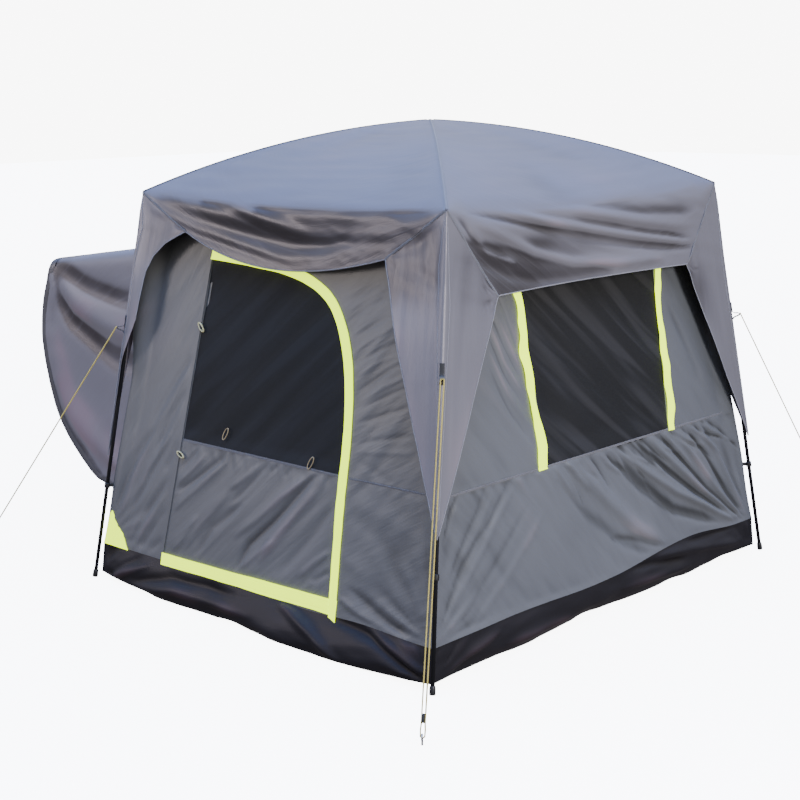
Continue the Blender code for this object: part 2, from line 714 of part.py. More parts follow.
def tube_loop(name, stations):
    """A closed loop of thin cord whose rings keep one turn."""
    bm = bmesh.new()
    rings = []
    normal_up = (stations[2][0] - stations[1][0]).cross(stations[6][0] - stations[1][0]).normalized()
    for centre, tangent, radius in stations:
        tangent = tangent.normalized()
        first = normal_up
        second = tangent.cross(first).normalized()
        turn = 2 * math.pi / 6
        rings.append([bm.verts.new(centre + radius * (math.cos(i * turn) * first + math.sin(i * turn) * second))
                      for i in range(6)])
    for low, high in zip(rings, rings[1:] + rings[:1]):
        for i in range(6):
            bm.faces.new((low[i - 1], low[i], high[i], high[i - 1]))
    place(name, bm, "cord")


def main():
    clear_scene()
    make_frame()
    make_tub()
    make_door_side()
    make_window_side("window", 1)
    make_window_side("back", -1)
    make_car_side()
    make_ceiling()
    make_fly()
    make_ties()


main()
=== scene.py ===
import math

import bmesh
import bpy
import numpy as np
from mathutils import Euler, Matrix, Vector


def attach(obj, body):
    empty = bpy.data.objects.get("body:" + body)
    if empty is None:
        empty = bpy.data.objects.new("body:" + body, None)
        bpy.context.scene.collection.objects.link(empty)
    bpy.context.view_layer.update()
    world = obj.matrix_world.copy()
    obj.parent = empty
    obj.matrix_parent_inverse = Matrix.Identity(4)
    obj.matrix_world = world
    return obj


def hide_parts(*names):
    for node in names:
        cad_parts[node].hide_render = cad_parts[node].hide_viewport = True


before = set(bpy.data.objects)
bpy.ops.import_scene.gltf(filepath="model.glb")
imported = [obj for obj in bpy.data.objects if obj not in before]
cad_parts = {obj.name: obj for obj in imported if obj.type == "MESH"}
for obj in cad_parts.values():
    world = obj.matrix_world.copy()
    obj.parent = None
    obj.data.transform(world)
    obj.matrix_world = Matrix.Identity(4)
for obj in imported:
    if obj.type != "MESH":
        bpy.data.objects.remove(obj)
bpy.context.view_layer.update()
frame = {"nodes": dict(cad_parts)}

nodes = frame["nodes"]


# The view
# A long lens looks at the front corner from a little above the eaves.
AIM, PITCH, ROLL = (math.radians(angle) for angle in (43.275, -11.766, -0.755))
STANDPOINT = (4.843, -5.378, 2.347)
LENS, FILM = 67.5, 36.0

ahead = Vector((-math.sin(AIM) * math.cos(PITCH), math.cos(AIM) * math.cos(PITCH), math.sin(PITCH)))
level = Vector((math.cos(AIM), math.sin(AIM), 0.0))
lifted = level.cross(ahead)
sideways = math.cos(ROLL) * level + math.sin(ROLL) * lifted
upright = math.cos(ROLL) * lifted - math.sin(ROLL) * level
bpy.ops.object.camera_add()
camera = bpy.context.object
camera.data.lens = LENS
camera.data.sensor_width = FILM
camera.matrix_world = Matrix((sideways, upright, -ahead)).transposed().to_4x4()
camera.location = STANDPOINT
bpy.context.scene.camera = camera


# The studio
# A pale floor under the tent, a pale room round it and three soft lights: cool from above,
# neutral from the window side and a faint rose one low in front of the door.
class Thread:
    """A socket of a material's nodes. Sums and products of threads add Math nodes."""

    def __init__(self, tree, socket=None):
        self.tree = tree
        self.socket = socket

    def node(self, kind, settings=None, inputs=None, output=0):
        """Add a node: its settings first, then the values or links of its sockets."""
        made = self.tree.nodes.new("ShaderNode" + kind)
        for name, value in (settings or {}).items():
            if name == "stops":
                ramp = made.color_ramp
                while len(ramp.elements) < len(value):
                    ramp.elements.new(1.0)
                for stop, (position, tone) in zip(ramp.elements, value):
                    stop.position = position
                    stop.color = (*tone, 1.0)
            else:
                setattr(made, name, value)
        for name, value in (inputs or {}).items():
            if isinstance(value, Thread):
                self.tree.links.new(value.socket, made.inputs[name])
            else:
                made.inputs[name].default_value = value
        return Thread(self.tree, made.outputs[output])

    def reckon(self, operation, first, second):
        return self.node("Math", {"operation": operation}, {0: first, 1: second})

    def __add__(self, other):
        return self.reckon("ADD", self, other)

    def __sub__(self, other):
        return self.reckon("SUBTRACT", self, other)

    def __rsub__(self, other):
        return self.reckon("SUBTRACT", other, self)

    def __mul__(self, other):
        return self.reckon("MULTIPLY", self, other)

    def __lt__(self, other):
        return self.reckon("LESS_THAN", self, other)

    def __gt__(self, other):
        return self.reckon("GREATER_THAN", self, other)

    __radd__ = __add__
    __rmul__ = __mul__

    def over(self, low, high):
        """From 0 to 1 as this goes from low to high, with soft ends."""
        return self.node("MapRange", {"interpolation_type": "SMOOTHSTEP"}, {0: self, 1: low, 2: high})

    def blend(self, first, second):
        """Colour first where this is 0 and second where it is 1."""
        return self.node("Mix", {"data_type": "RGBA"}, {0: self, 6: first, 7: second}, output=2)


def shell_of(name, roughness):
    """A new material, its shader and a thread to start its nodes from."""
    made = bpy.data.materials.new(name)
    made.use_nodes = True
    shader = made.node_tree.nodes["Principled BSDF"]
    shader.inputs["Roughness"].default_value = roughness
    return made, shader, Thread(made.node_tree)


FLOOR_SIZE = 80.0
FLOOR_GLOW = 8.0
SHOWN_LIGHT = 8.5
SKY_LIGHT, HORIZON_LIGHT, GROUND_LIGHT = 1.70, 0.66, 0.15
SKY_TONE = (0.36, 0.62, 1.60, 1.0)
HORIZON_TONE = (1.0, 0.985, 0.965, 1.0)
GROUND_TONE = (1.0, 0.90, 0.95, 1.0)
LIGHTS = (
    ("top_light", (0.6, -1.6, 6.0), (0.1, -0.1, 1.6), 3.6, 200.0, (0.40, 0.62, 1.0)),
    ("window_light", (7.4, -1.2, 2.9), (0.9, 0.1, 0.9), 2.0, 470.0, (1.0, 0.985, 0.97)),
    ("door_light", (-5.4, -6.8, 2.7), (-0.5, -1.1, 0.9), 1.8, 140.0, (1.0, 0.93, 0.94)),
)

bpy.ops.mesh.primitive_plane_add(size=FLOOR_SIZE, location=(0, 0, -0.0005))
floor = bpy.context.object
floor.name = "studio_floor"
floor.visible_diffuse = False
floor.visible_glossy = False
floor_paint, floor_shader, thread = shell_of("studio_floor", 0.9)
away = thread.node("VectorMath", {"operation": "LENGTH"}, {0: thread.node("TexCoord", output="Object")}, output="Value")
glow = away.over(1.5, 16.0).blend((FLOOR_GLOW,) * 3 + (1.0,), (SHOWN_LIGHT,) * 3 + (1.0,))
floor_shader.inputs["Base Color"].default_value = (0.9, 0.9, 0.9, 1.0)
floor_shader.inputs["Specular IOR Level"].default_value = 0.0
floor_shader.inputs["Emission Strength"].default_value = 1.0
thread.tree.links.new(glow.socket, floor_shader.inputs["Emission Color"])
floor.data.materials.append(floor_paint)

room = bpy.data.worlds.new("studio_room")
room.use_nodes = True
bpy.context.scene.world = room
backdrop = room.node_tree.nodes["Background"]
thread = Thread(room.node_tree)
rise = thread.node("SeparateXYZ", None, {0: thread.node("TexCoord", output="Generated")}, output="Z")
tone = rise.over(-0.25, 0.1).blend(GROUND_TONE, HORIZON_TONE)
tone = rise.over(0.30, 0.95).blend(tone, SKY_TONE)
light = GROUND_LIGHT + rise.over(-0.3, 0.15) * (HORIZON_LIGHT - GROUND_LIGHT) + rise.over(0.1, 0.9) * (SKY_LIGHT - HORIZON_LIGHT)
seen = thread.node("LightPath", output="Is Camera Ray")
links = room.node_tree.links
links.new(seen.blend(tone, (1.0, 1.0, 1.0, 1.0)).socket, backdrop.inputs["Color"])
links.new((light * (1 - seen) + SHOWN_LIGHT * seen).socket, backdrop.inputs["Strength"])

for name, stand, target, size, power, tone in LIGHTS:
    bpy.ops.object.light_add(type="AREA", location=stand)
    lamp = bpy.context.object
    lamp.name = name
    lamp.rotation_euler = (Vector(target) - Vector(stand)).to_track_quat("-Z", "Y").to_euler()
    lamp.data.shape = "DISK"
    lamp.data.size = size
    lamp.data.energy = power
    lamp.data.color = tone


# Steel legs
# Four black powder-coated steel legs lean in from plastic feet to the eaves. Each is a lower
# tube swaged into an upper one, where a spring button locks it.
FOOT = (1.12, 1.26)
EAVE = (0.95, 0.965)
EAVE_HEIGHT = 1.88
LEAN = tuple((low - high) / EAVE_HEIGHT for low, high in zip(FOOT, EAVE))
LEG_RADIUS = 0.0095
LEG_TOP = 1.76
JOINT_HEIGHT = 0.93
CORNERS = {"front": (1, -1), "right": (1, 1), "rear": (-1, 1), "left": (-1, -1)}


def leg_half(axis, height):
    """Half span of the leg centre lines at a height, on X (0) or Y (1)."""
    return FOOT[axis] - LEAN[axis] * height


def corner_point(corner, height, half):
    sign_x, sign_y = CORNERS[corner]
    return Vector((sign_x * half(0, height), sign_y * half(1, height), height))


def turned(name, base, axis, stations, paint, sides=28):
    """A round piece raised from a disc: each station lifts its end face and resizes it."""
    bpy.ops.object.select_all(action="DESELECT")
    height, radius = stations[0]
    bpy.ops.mesh.primitive_circle_add(vertices=sides, radius=radius, fill_type="NGON", location=(0, 0, height))
    made = bpy.context.object
    made.name = name
    bpy.ops.object.transform_apply()
    bpy.ops.object.mode_set(mode="EDIT")
    for new_height, new_radius in stations[1:]:
        bpy.ops.mesh.extrude_region_move(TRANSFORM_OT_translate={"value": (0, 0, new_height - height)})
        share = new_radius / radius
        bpy.ops.transform.resize(value=(share, share, 1), center_override=(0, 0, new_height))
        height, radius = new_height, new_radius
    bpy.ops.mesh.select_all(action="SELECT")
    bpy.ops.mesh.normals_make_consistent(inside=False)
    bpy.ops.object.mode_set(mode="OBJECT")
    made.rotation_euler = Vector(axis).to_track_quat("Z", "Y").to_euler()
    made.location = base
    bpy.ops.object.transform_apply()
    bpy.ops.object.shade_smooth_by_angle(angle=math.radians(40))
    made.data.materials.append(paint)
    return made


def join(parts, name):
    """Join finished pieces into one that keeps their materials."""
    bpy.ops.object.select_all(action="DESELECT")
    for part in parts:
        part.select_set(True)
    bpy.context.view_layer.objects.active = parts[0]
    bpy.ops.object.join()
    parts[0].name = name
    return parts[0]


def enamel(name, colour, worn, roughness, metallic, grain):
    """Powder coat or moulded plastic: a fine grain, faint smears and lighter rubbed places."""
    made, shader, thread = shell_of(name, roughness)
    place = thread.node("TexCoord", output="Object")
    speck = thread.node("TexNoise", None, {"Vector": place, "Scale": grain, "Detail": 2.0})
    smear = thread.node("TexNoise", None, {"Vector": place, "Scale": 9.0, "Detail": 4.0})
    rubbed = smear.over(0.62, 0.8) * 0.5
    links = thread.tree.links
    links.new(rubbed.blend(colour, worn).socket, shader.inputs["Base Color"])
    links.new((roughness - 0.08 + smear * 0.16).socket, shader.inputs["Roughness"])
    bump = thread.node("Bump", None, {"Strength": 0.35, "Distance": 0.0004, "Height": speck})
    links.new(bump.socket, shader.inputs["Normal"])
    shader.inputs["Metallic"].default_value = metallic
    return made


black_steel = enamel("black_steel", (0.010, 0.010, 0.012, 1), (0.05, 0.05, 0.055, 1), 0.38, 0.6, 900.0)
black_plastic = enamel("black_plastic", (0.009, 0.009, 0.010, 1), (0.03, 0.03, 0.032, 1), 0.45, 0.0, 500.0)
bright_steel = enamel("bright_steel", (0.42, 0.43, 0.44, 1), (0.25, 0.24, 0.22, 1), 0.32, 1.0, 700.0)

for corner in CORNERS:
    foot = corner_point(corner, 0.0, leg_half)
    top = corner_point(corner, LEG_TOP, leg_half)
    up = (top - foot).normalized()
    length = (top - foot).length
    lower = turned("leg_lower", foot + up * 0.02, up, [
        (0.0, LEG_RADIUS * 0.86), (0.002, LEG_RADIUS * 0.93), (JOINT_HEIGHT - 0.03, LEG_RADIUS * 0.93),
        (JOINT_HEIGHT - 0.022, LEG_RADIUS * 0.86)], black_steel)
    upper = turned("leg_upper", foot + up * (JOINT_HEIGHT - 0.02), up, [
        (0.0, LEG_RADIUS * 0.88), (0.0, LEG_RADIUS * 0.98), (0.0015, LEG_RADIUS),
        (length - JOINT_HEIGHT + 0.018, LEG_RADIUS), (length - JOINT_HEIGHT + 0.02, LEG_RADIUS * 0.9)], black_steel)
    across = Vector((up.z, 0, -up.x)).normalized() * CORNERS[corner][0]
    button = turned("leg_button", foot + up * (JOINT_HEIGHT + 0.03) + across * LEG_RADIUS * 0.9, across, [
        (0.0, 0.0042), (0.0016, 0.0042), (0.0028, 0.003), (0.0032, 0.0012)], bright_steel, 14)
    shoe = turned("leg_shoe", foot + Vector((0, 0, 0.0008)), up, [
        (0.0, 0.0105), (0.0015, 0.0125), (0.006, 0.0133), (0.024, 0.0130), (0.034, 0.0118),
        (0.037, 0.0104), (0.037, 0.0092), (0.030, 0.0090)], black_plastic)
    leg = join([lower, upper, button, shoe], "steel_leg_" + corner)
    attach(leg, "root")
    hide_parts("leg_" + corner)


# Roof poles and hub
# Curved steel poles run up from the legs' elbows to one moulded hub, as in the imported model.
for corner in CORNERS:
    nodes["roof_pole_" + corner].data.materials.clear()
    nodes["roof_pole_" + corner].data.materials.append(black_steel)
nodes["apex_hub"].data.materials.clear()
nodes["apex_hub"].data.materials.append(black_plastic)


# Floor tub
# A bath of heavy coated cloth: a flat floor whose edge turns up all round and is sewn to the
# walls. Rings at its corners are pulled out to pins at the legs' feet, so it creases there.
TUB_TOP = 0.17
WALL_OFFSET = 0.015
WALL_LEAN_IN = 0.052
GRAIN = 0.014
CLOTH_THICKNESS = 0.0015
CORNER_INSET = 0.018
SEAM_LAP = 0.004
TUB_INSETS = {"door": -0.012, "window": 0.075, "back": 0.03, "car": 0.06}
TUB_FOLDS = {
    "door": (
        (((0.16, 0.18), (0.42, 0.088), (0.60, 0.01)), 0.026, 0.018),
        (((0.46, 0.19), (0.75, 0.149), (1.03, 0.04)), 0.024, -0.016),
        (((0.72, 0.175), (1.08, 0.055)), 0.020, 0.014),
        (((-1.066, 0.012), (-0.893, 0.107), (-0.77, 0.165)), 0.016, -0.011),
        (((-1.016, 0.007), (-0.846, 0.081), (-0.70, 0.14)), 0.016, 0.011),
        (((-0.83, 0.012), (-0.49, 0.064), (0.02, 0.062)), 0.026, 0.014),
        (((-0.82, 0.045), (-0.53, 0.118), (-0.10, 0.130)), 0.024, -0.013),
    ),
    "window": (
        (((0.36, 0.172), (0.675, 0.136), (1.10, 0.075)), 0.024, 0.016),
        (((0.62, 0.18), (1.05, 0.165)), 0.018, -0.012),
        (((0.10, 0.079), (0.331, 0.074), (0.66, 0.060)), 0.020, 0.013),
        (((0.18, 0.158), (0.328, 0.147), (0.60, 0.110)), 0.020, -0.013),
        (((-0.75, 0.06), (-0.25, 0.05)), 0.024, 0.012),
        (((-1.16, 0.04), (-0.80, 0.13)), 0.020, 0.012),
    ),
    "back": (
        (((-0.60, 0.17), (-0.85, 0.13), (-1.12, 0.06)), 0.024, 0.015),
        (((0.30, 0.05), (0.72, 0.12)), 0.024, 0.012),
        (((-0.30, 0.10), (0.20, 0.12)), 0.026, -0.012),
    ),
    "car": (
        (((-1.10, 0.05), (-0.70, 0.12)), 0.024, 0.013),
        (((0.55, 0.12), (1.12, 0.05)), 0.024, 0.013),
    ),
}
SIDES = {
    "door": ((1, 0), (0, -1)),
    "window": ((0, 1), (1, 0)),
    "back": ((-1, 0), (0, 1)),
    "car": ((0, -1), (-1, 0)),
}


def wall_half(axis, height):
    """Half span of the inner tent's outer surface at a height."""
    return leg_half(axis, height) - WALL_OFFSET - WALL_LEAN_IN * (height - TUB_TOP)


def side_half(side, height, half):
    """Half width of a side at a height."""
    return half(1 if SIDES[side][1][0] else 0, height)


def on_side(side, across, height, half, out=0.0):
    """Points of a side of the tent, from their place across it and their height."""
    along, outward = SIDES[side]
    reach = half(0 if outward[0] else 1, height) + out
    return np.stack(np.broadcast_arrays(along[0] * across + outward[0] * reach,
                                        along[1] * across + outward[1] * reach, height), -1)


def ease(low, high, value):
    """From 0 to 1 as value goes from low to high, with soft ends."""
    share = np.clip((value - low) / (high - low), 0, 1)
    return share * share * (3 - 2 * share)


def crumple(x, y, seed):
    """Smooth noise from about -1 to 1 over a plane, the same each run."""
    x, y = np.broadcast_arrays(np.asarray(x, float), np.asarray(y, float))
    cell_x, cell_y = np.floor(x), np.floor(y)
    part_x, part_y = x - cell_x, y - cell_y
    total = 0.0
    for step_x in (0, 1):
        for step_y in (0, 1):
            mixed = np.sin((cell_x + step_x) * 127.1 + (cell_y + step_y) * 311.7 + seed * 74.7) * 43758.5453
            turn = 2 * np.pi * (mixed - np.floor(mixed))
            lean = np.cos(turn) * (part_x - step_x) + np.sin(turn) * (part_y - step_y)
            near_x, near_y = 1 - abs(part_x - step_x), 1 - abs(part_y - step_y)
            total = total + lean * near_x ** 2 * (3 - 2 * near_x) * near_y ** 2 * (3 - 2 * near_y)
    return total * 1.6


def crease(across, height, line, width, depth, lee=0.75, tail=0.22):
    """A fold along a line of points, up for a ridge and down for a valley. It narrows to its ends,
    and the flank on its right, seen from its first point, is steeper by lee."""
    knots = np.array(line, float)
    lengths = np.hypot(*np.diff(knots, axis=0).T)
    starts = np.concatenate([[0.0], np.cumsum(lengths)])
    nearest = np.full(np.broadcast(across, height).shape, 1e9)
    off = np.zeros_like(nearest)
    share = np.zeros_like(nearest)
    for (x0, z0), (x1, z1), length, start in zip(knots, knots[1:], lengths, starts):
        run_x, run_z = (x1 - x0) / length, (z1 - z0) / length
        along = (across - x0) * run_x + (height - z0) * run_z
        aside = (height - z0) * run_x - (across - x0) * run_z
        far = np.hypot(aside, along - np.clip(along, 0, length))
        closer = far < nearest
        nearest = np.where(closer, far, nearest)
        off = np.where(closer, aside, off)
        share = np.where(closer, (start + along) / starts[-1], share)
    swell = ease(-tail * 0.5, tail, share) * ease(-tail * 0.5, tail, 1 - share)
    spread = width * (0.4 + 0.6 * swell)
    profile = np.exp(-(nearest / np.where(off < 0, spread * lee, spread)) ** 2)
    return depth * swell * profile


def rays(across, height, hold, count, reach, depth, seed):
    """Small folds that run out from a point where the cloth is held."""
    run_x, run_z = across - hold[0], height - hold[1]
    far = np.hypot(run_x, run_z)
    turn = np.arctan2(run_z, run_x)
    swell = ease(0, reach * 0.3, far) * (1 - ease(reach * 0.4, reach, far))
    return depth * swell * crumple(turn * count, far / reach * 1.2 + seed, seed)


def drawn_folds(across, height, angle, length, width, seed):
    """Long soft wrinkles that run at an angle."""
    turn = math.radians(angle)
    along = across * math.cos(turn) + height * math.sin(turn)
    aside = height * math.cos(turn) - across * math.sin(turn)
    return crumple(along / length, aside / width, seed)


class Panel:
    """A cut of cloth as a grid of points, with its weave's own coordinates in metres."""

    def __init__(self, points, outward, relief=None, hole=None):
        self.points = np.array(points, float)
        self.outward = np.array(outward, float)
        rows, columns = self.points.shape[:2]
        step = np.linalg.norm(np.diff(self.points, axis=1), axis=2)
        run = np.concatenate([np.zeros((rows, 1)), np.cumsum(step, 1)], 1)
        step = np.linalg.norm(np.diff(self.points, axis=0), axis=2)
        fall = np.concatenate([np.zeros((1, columns)), np.cumsum(step, 0)], 0)
        self.weave = np.stack([run - run[:, -1:] / 2, fall], -1)
        self.pull = self.weave.copy()
        self.relief = np.zeros((rows, columns)) if relief is None else relief + np.zeros((rows, columns))
        self.hole = hole

    def normals(self):
        normal = np.cross(np.gradient(self.points, axis=1), np.gradient(self.points, axis=0))
        normal /= np.maximum(np.linalg.norm(normal, axis=2, keepdims=True), 1e-12)
        return normal if (normal * self.outward).sum() > 0 else -normal

    def raised(self, relief, shade=1.0):
        """Push the cloth out by relief, in metres. Its folds get painted shade and painted highlights as if shade times
        deeper.
        """
        self.points = self.points + self.normals() * relief[..., None]
        self.relief = relief * shade
        return self

    def along(self, angle):
        """Turn the fine wrinkles so that they run at an angle to the level."""
        turn = np.radians(angle)
        run, rise = self.weave[..., 0], -self.weave[..., 1]
        if self.outward[2] == 0:
            run = self.points[..., 1] * self.outward[0] - self.points[..., 0] * self.outward[1]
            rise = self.points[..., 2]
        self.pull = np.stack([run * np.cos(turn) + rise * np.sin(turn),
                              rise * np.cos(turn) - run * np.sin(turn)], -1)
        return self


# Fold depth at which a fold's painted shade or painted highlight is full.
RELIEF_DEPTH = 0.013


def sew(name, panels, paint, thickness=CLOTH_THICKNESS, close=0.0005, crisp=70):
    """One piece of cloth from panels whose shared edges are welded, with its real thickness."""
    points, weave, pull, relief, faces = [], [], [], [], []
    start = 0
    for panel in panels:
        rows, columns = panel.points.shape[:2]
        index = np.arange(rows * columns).reshape(rows, columns) + start
        quads = np.stack([index[:-1, :-1], index[1:, :-1], index[1:, 1:], index[:-1, 1:]], -1)
        down = panel.points[1:, :-1] - panel.points[:-1, :-1]
        along = panel.points[:-1, 1:] - panel.points[:-1, :-1]
        if (np.cross(down, along) * panel.outward).sum() < 0:
            quads = quads[..., ::-1]
        kept = np.ones(quads.shape[:2], bool) if panel.hole is None else ~panel.hole
        faces.append(quads[kept])
        points.append(panel.points.reshape(-1, 3))
        weave.append(panel.weave.reshape(-1, 2))
        pull.append(panel.pull.reshape(-1, 2))
        relief.append(panel.relief.reshape(-1))
        start += rows * columns
    faces = np.concatenate(faces)
    mesh = bpy.data.meshes.new(name)
    mesh.from_pydata(np.concatenate(points).tolist(), [], faces.tolist())
    for layer, values in (("weave", weave), ("pull", pull)):
        uvs = mesh.uv_layers.new(name=layer)
        uvs.data.foreach_set("uv", np.concatenate(values)[faces.reshape(-1)].astype(np.float32).ravel())
    # The relief attribute sets the materials' painted shade in fold valleys and painted highlights on ridges.
    depth = mesh.attributes.new("relief", "FLOAT", "POINT")
    depth.data.foreach_set("value", np.clip(np.concatenate(relief) / RELIEF_DEPTH, -1.5, 1.5).astype(np.float32))
    work = bmesh.new()
    work.from_mesh(mesh)
    bmesh.ops.remove_doubles(work, verts=work.verts, dist=close)
    bmesh.ops.dissolve_degenerate(work, edges=work.edges, dist=close / 4)
    bmesh.ops.delete(work, geom=[vert for vert in work.verts if not vert.link_faces], context="VERTS")
    work.to_mesh(mesh)
    work.free()
    mesh.materials.append(paint)
    made = bpy.data.objects.new(name, mesh)
    bpy.context.collection.objects.link(made)
    bpy.ops.object.select_all(action="DESELECT")
    made.select_set(True)
    bpy.context.view_layer.objects.active = made
    solid = made.modifiers.new("cloth thickness", "SOLIDIFY")
    solid.thickness = thickness
    solid.offset = -1.0
    bpy.ops.object.modifier_apply(modifier=solid.name)
    bpy.ops.object.shade_smooth_by_angle(angle=math.radians(crisp))
    return made


def coated_cloth(name, colour, valley, ridge_highlight, roughness, fine=1.0, sheen=0.25, gloss=0.75, tint=(1.0, 0.90, 0.92)):
    """Woven polyester with a coating: satin, with painted shade in its folds' valleys and a painted highlight on some
    ridges, with fine wrinkles along its pull and a weave of a few threads a millimetre."""
    made, shader, thread = shell_of(name, roughness)
    links = thread.tree.links
    place = thread.node("TexCoord", output="Object")
    weave = thread.node("UVMap", {"uv_map": "weave"})
    lie = thread.node("UVMap", {"uv_map": "pull"})
    relief = thread.node("Attribute", {"attribute_name": "relief"}, output="Fac")
    cloud = thread.node("TexNoise", None, {"Vector": place, "Scale": 1.6, "Detail": 2.0})
    highlight_patches = thread.node("TexNoise", None, {"Vector": place, "Scale": 2.6, "Detail": 1.0, "Roughness": 0.3})
    drawn = thread.node("Mapping", None, {"Vector": lie, "Scale": (3.0, 26.0, 1.0)})
    lines = thread.node("TexNoise", None, {"Vector": drawn, "Scale": 1.0, "Detail": 3.0, "Distortion": 0.5})
    close = thread.node("Mapping", None, {"Vector": lie, "Scale": (12.0, 80.0, 1.0)})
    small = thread.node("TexNoise", None, {"Vector": close, "Scale": 1.0, "Detail": 2.0, "Distortion": 0.8})
    # Painted shade: the colour darkens to the valley colour where the fold relief sinks.
    tone = relief.over(0.0, -1.0).blend(colour, valley)
    # Painted highlight: a pinkish paler colour on raised ridges, in noise patches.
    tone = (relief.over(0.0, 0.9) * highlight_patches.over(0.40, 0.62)).blend(tone, ridge_highlight)
    # Paler in random clouds. Along the crests of the fine wrinkles this paleness is a painted highlight.
    paler = tuple(min(1.0, part * 1.3) for part in colour[:3]) + (1.0,)
    tone = (cloud.over(0.35, 0.7) * 0.4 + lines.over(0.5, 0.75) * 0.15).blend(tone, paler)
    links.new(tone.socket, shader.inputs["Base Color"])
    links.new((roughness - 0.06 + cloud * 0.12 + lines * 0.06).socket, shader.inputs["Roughness"])
    warp = thread.node("TexWave", {"bands_direction": "X"}, {"Vector": weave, "Scale": 110.0})
    weft = thread.node("TexWave", {"bands_direction": "Y"}, {"Vector": weave, "Scale": 110.0})
    bump = thread.node("Bump", None, {"Strength": 0.12, "Distance": 0.0003, "Height": warp * weft})
    bump = thread.node("Bump", None, {"Strength": 0.5 * fine, "Distance": 0.0012, "Height": small, "Normal": bump})
    bump = thread.node("Bump", None, {"Strength": 0.6 * fine, "Distance": 0.005, "Height": lines, "Normal": bump})
    links.new(bump.socket, shader.inputs["Normal"])
    shader.inputs["Sheen Weight"].default_value = sheen
    shader.inputs["Sheen Roughness"].default_value = 0.35
    shader.inputs["Sheen Tint"].default_value = (0.95, 0.86, 0.95, 1.0)
    shader.inputs["Specular IOR Level"].default_value = gloss
    shader.inputs["Specular Tint"].default_value = (*tint, 1.0)
    return made


def declare(made, area=None, nodes=(), body="root"):
    """A finished piece of cloth: what it rides on and what it stands for. Its cut, area, is not used."""
    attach(made, body)
    if nodes:
        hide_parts(*nodes)


tub_cloth = coated_cloth("tub_cloth", (0.012, 0.012, 0.015, 1), (0.004, 0.004, 0.005, 1),
                         (0.040, 0.028, 0.034, 1), 0.46, 0.3, 0.04, 0.26, (1.0, 0.86, 0.84))


def seam_height(side, across):
    """Height of the seam between the tub and the walls, which rides up and down a little."""
    half = side_half(side, TUB_TOP, wall_half)
    fade = 1 - np.minimum(1, abs(across) / half) ** 6
    wave = 0.012 * crumple(across * 2.1, 0.5, {"door": 3, "window": 7, "back": 12, "car": 5}[side])
    mirror = {"window": 1, "back": -1}.get(side)
    if mirror:
        wave = wave + 0.034 * np.exp(-((mirror * across - 0.66) / 0.34) ** 2)
    return TUB_TOP + 0.002 + fade * wave


def tub_side(side):
    """One side of the tub, from its seam down to the ground and under to the floor's middle."""
    seed = 20 + list(SIDES).index(side)
    half = side_half(side, TUB_TOP, wall_half)
    share = np.linspace(-1, 1, int(2 * half / GRAIN))[None, :]
    drop = np.linspace(0, 1, 17)[:, None]
    top_across = share * half
    low_across = share * (side_half(side, 0.0, wall_half) - CORNER_INSET)
    middle = 1 - abs(share) ** 3.5
    wander = 0.022 * crumple(top_across * 2.3, 0.3, seed) + 0.009 * crumple(top_across * 6.1, 0.7, seed + 1)
    inset = CORNER_INSET + middle * (TUB_INSETS[side] - CORNER_INSET + wander)
    top_height = seam_height(side, top_across) + SEAM_LAP
    low_height = 0.002 + 0.026 * (1 - middle) + middle * 0.012 * np.maximum(0, crumple(top_across * 4.7, 0.1, seed))
    top = on_side(side, top_across, top_height, wall_half, -0.0025)
    low = on_side(side, low_across, low_height, wall_half, -inset)
    outward = np.array((*SIDES[side][1], 0.0))
    belly = 0.030 * middle * (1 + 0.6 * crumple(top_across * 1.9, 0.9, seed + 3)) * 4 * drop ** 1.4 * (1 - drop)
    wall = top + (low - top) * drop[..., None] + outward * belly[..., None]
    across = top_across + (low_across - top_across) * drop
    height = top_height + (low_height - top_height) * drop
    folds = 0.003 * drawn_folds(across, height, 10, 0.40, 0.05, seed + 4)
    folds = folds + 0.002 * drawn_folds(across, height, -16, 0.30, 0.05, seed + 5)
    for hold in (-half, half):
        folds = folds + rays(across, height, (hold * 0.995, 0.03), 4.0, 0.40, 0.010, seed + 6)
    for line, width, depth in TUB_FOLDS[side]:
        folds = folds + crease(across, height, line, width, depth)
    hush = ease(0, 0.15, drop) * ease(0, 0.08, 1 - drop) * ease(0, 0.03, half - abs(top_across))
    upright_part = Panel(wall, outward).raised(folds * hush).along(8)
    edge = upright_part.points[-1]
    inward = np.linspace(0, 1, 7)[:, None, None] ** 1.5
    under = edge * (1 - inward)
    under[..., 2] = 0.002 + (edge[:, 2] - 0.002) * np.clip(1 - inward[..., 0] * 12, 0, 1)
    return [upright_part, Panel(under, (0, 0, -1))]


tub = sew("floor_tub_cloth", [panel for side in SIDES for panel in tub_side(side)], tub_cloth)
declare(tub, area=7.2, nodes=["floor_tub"])


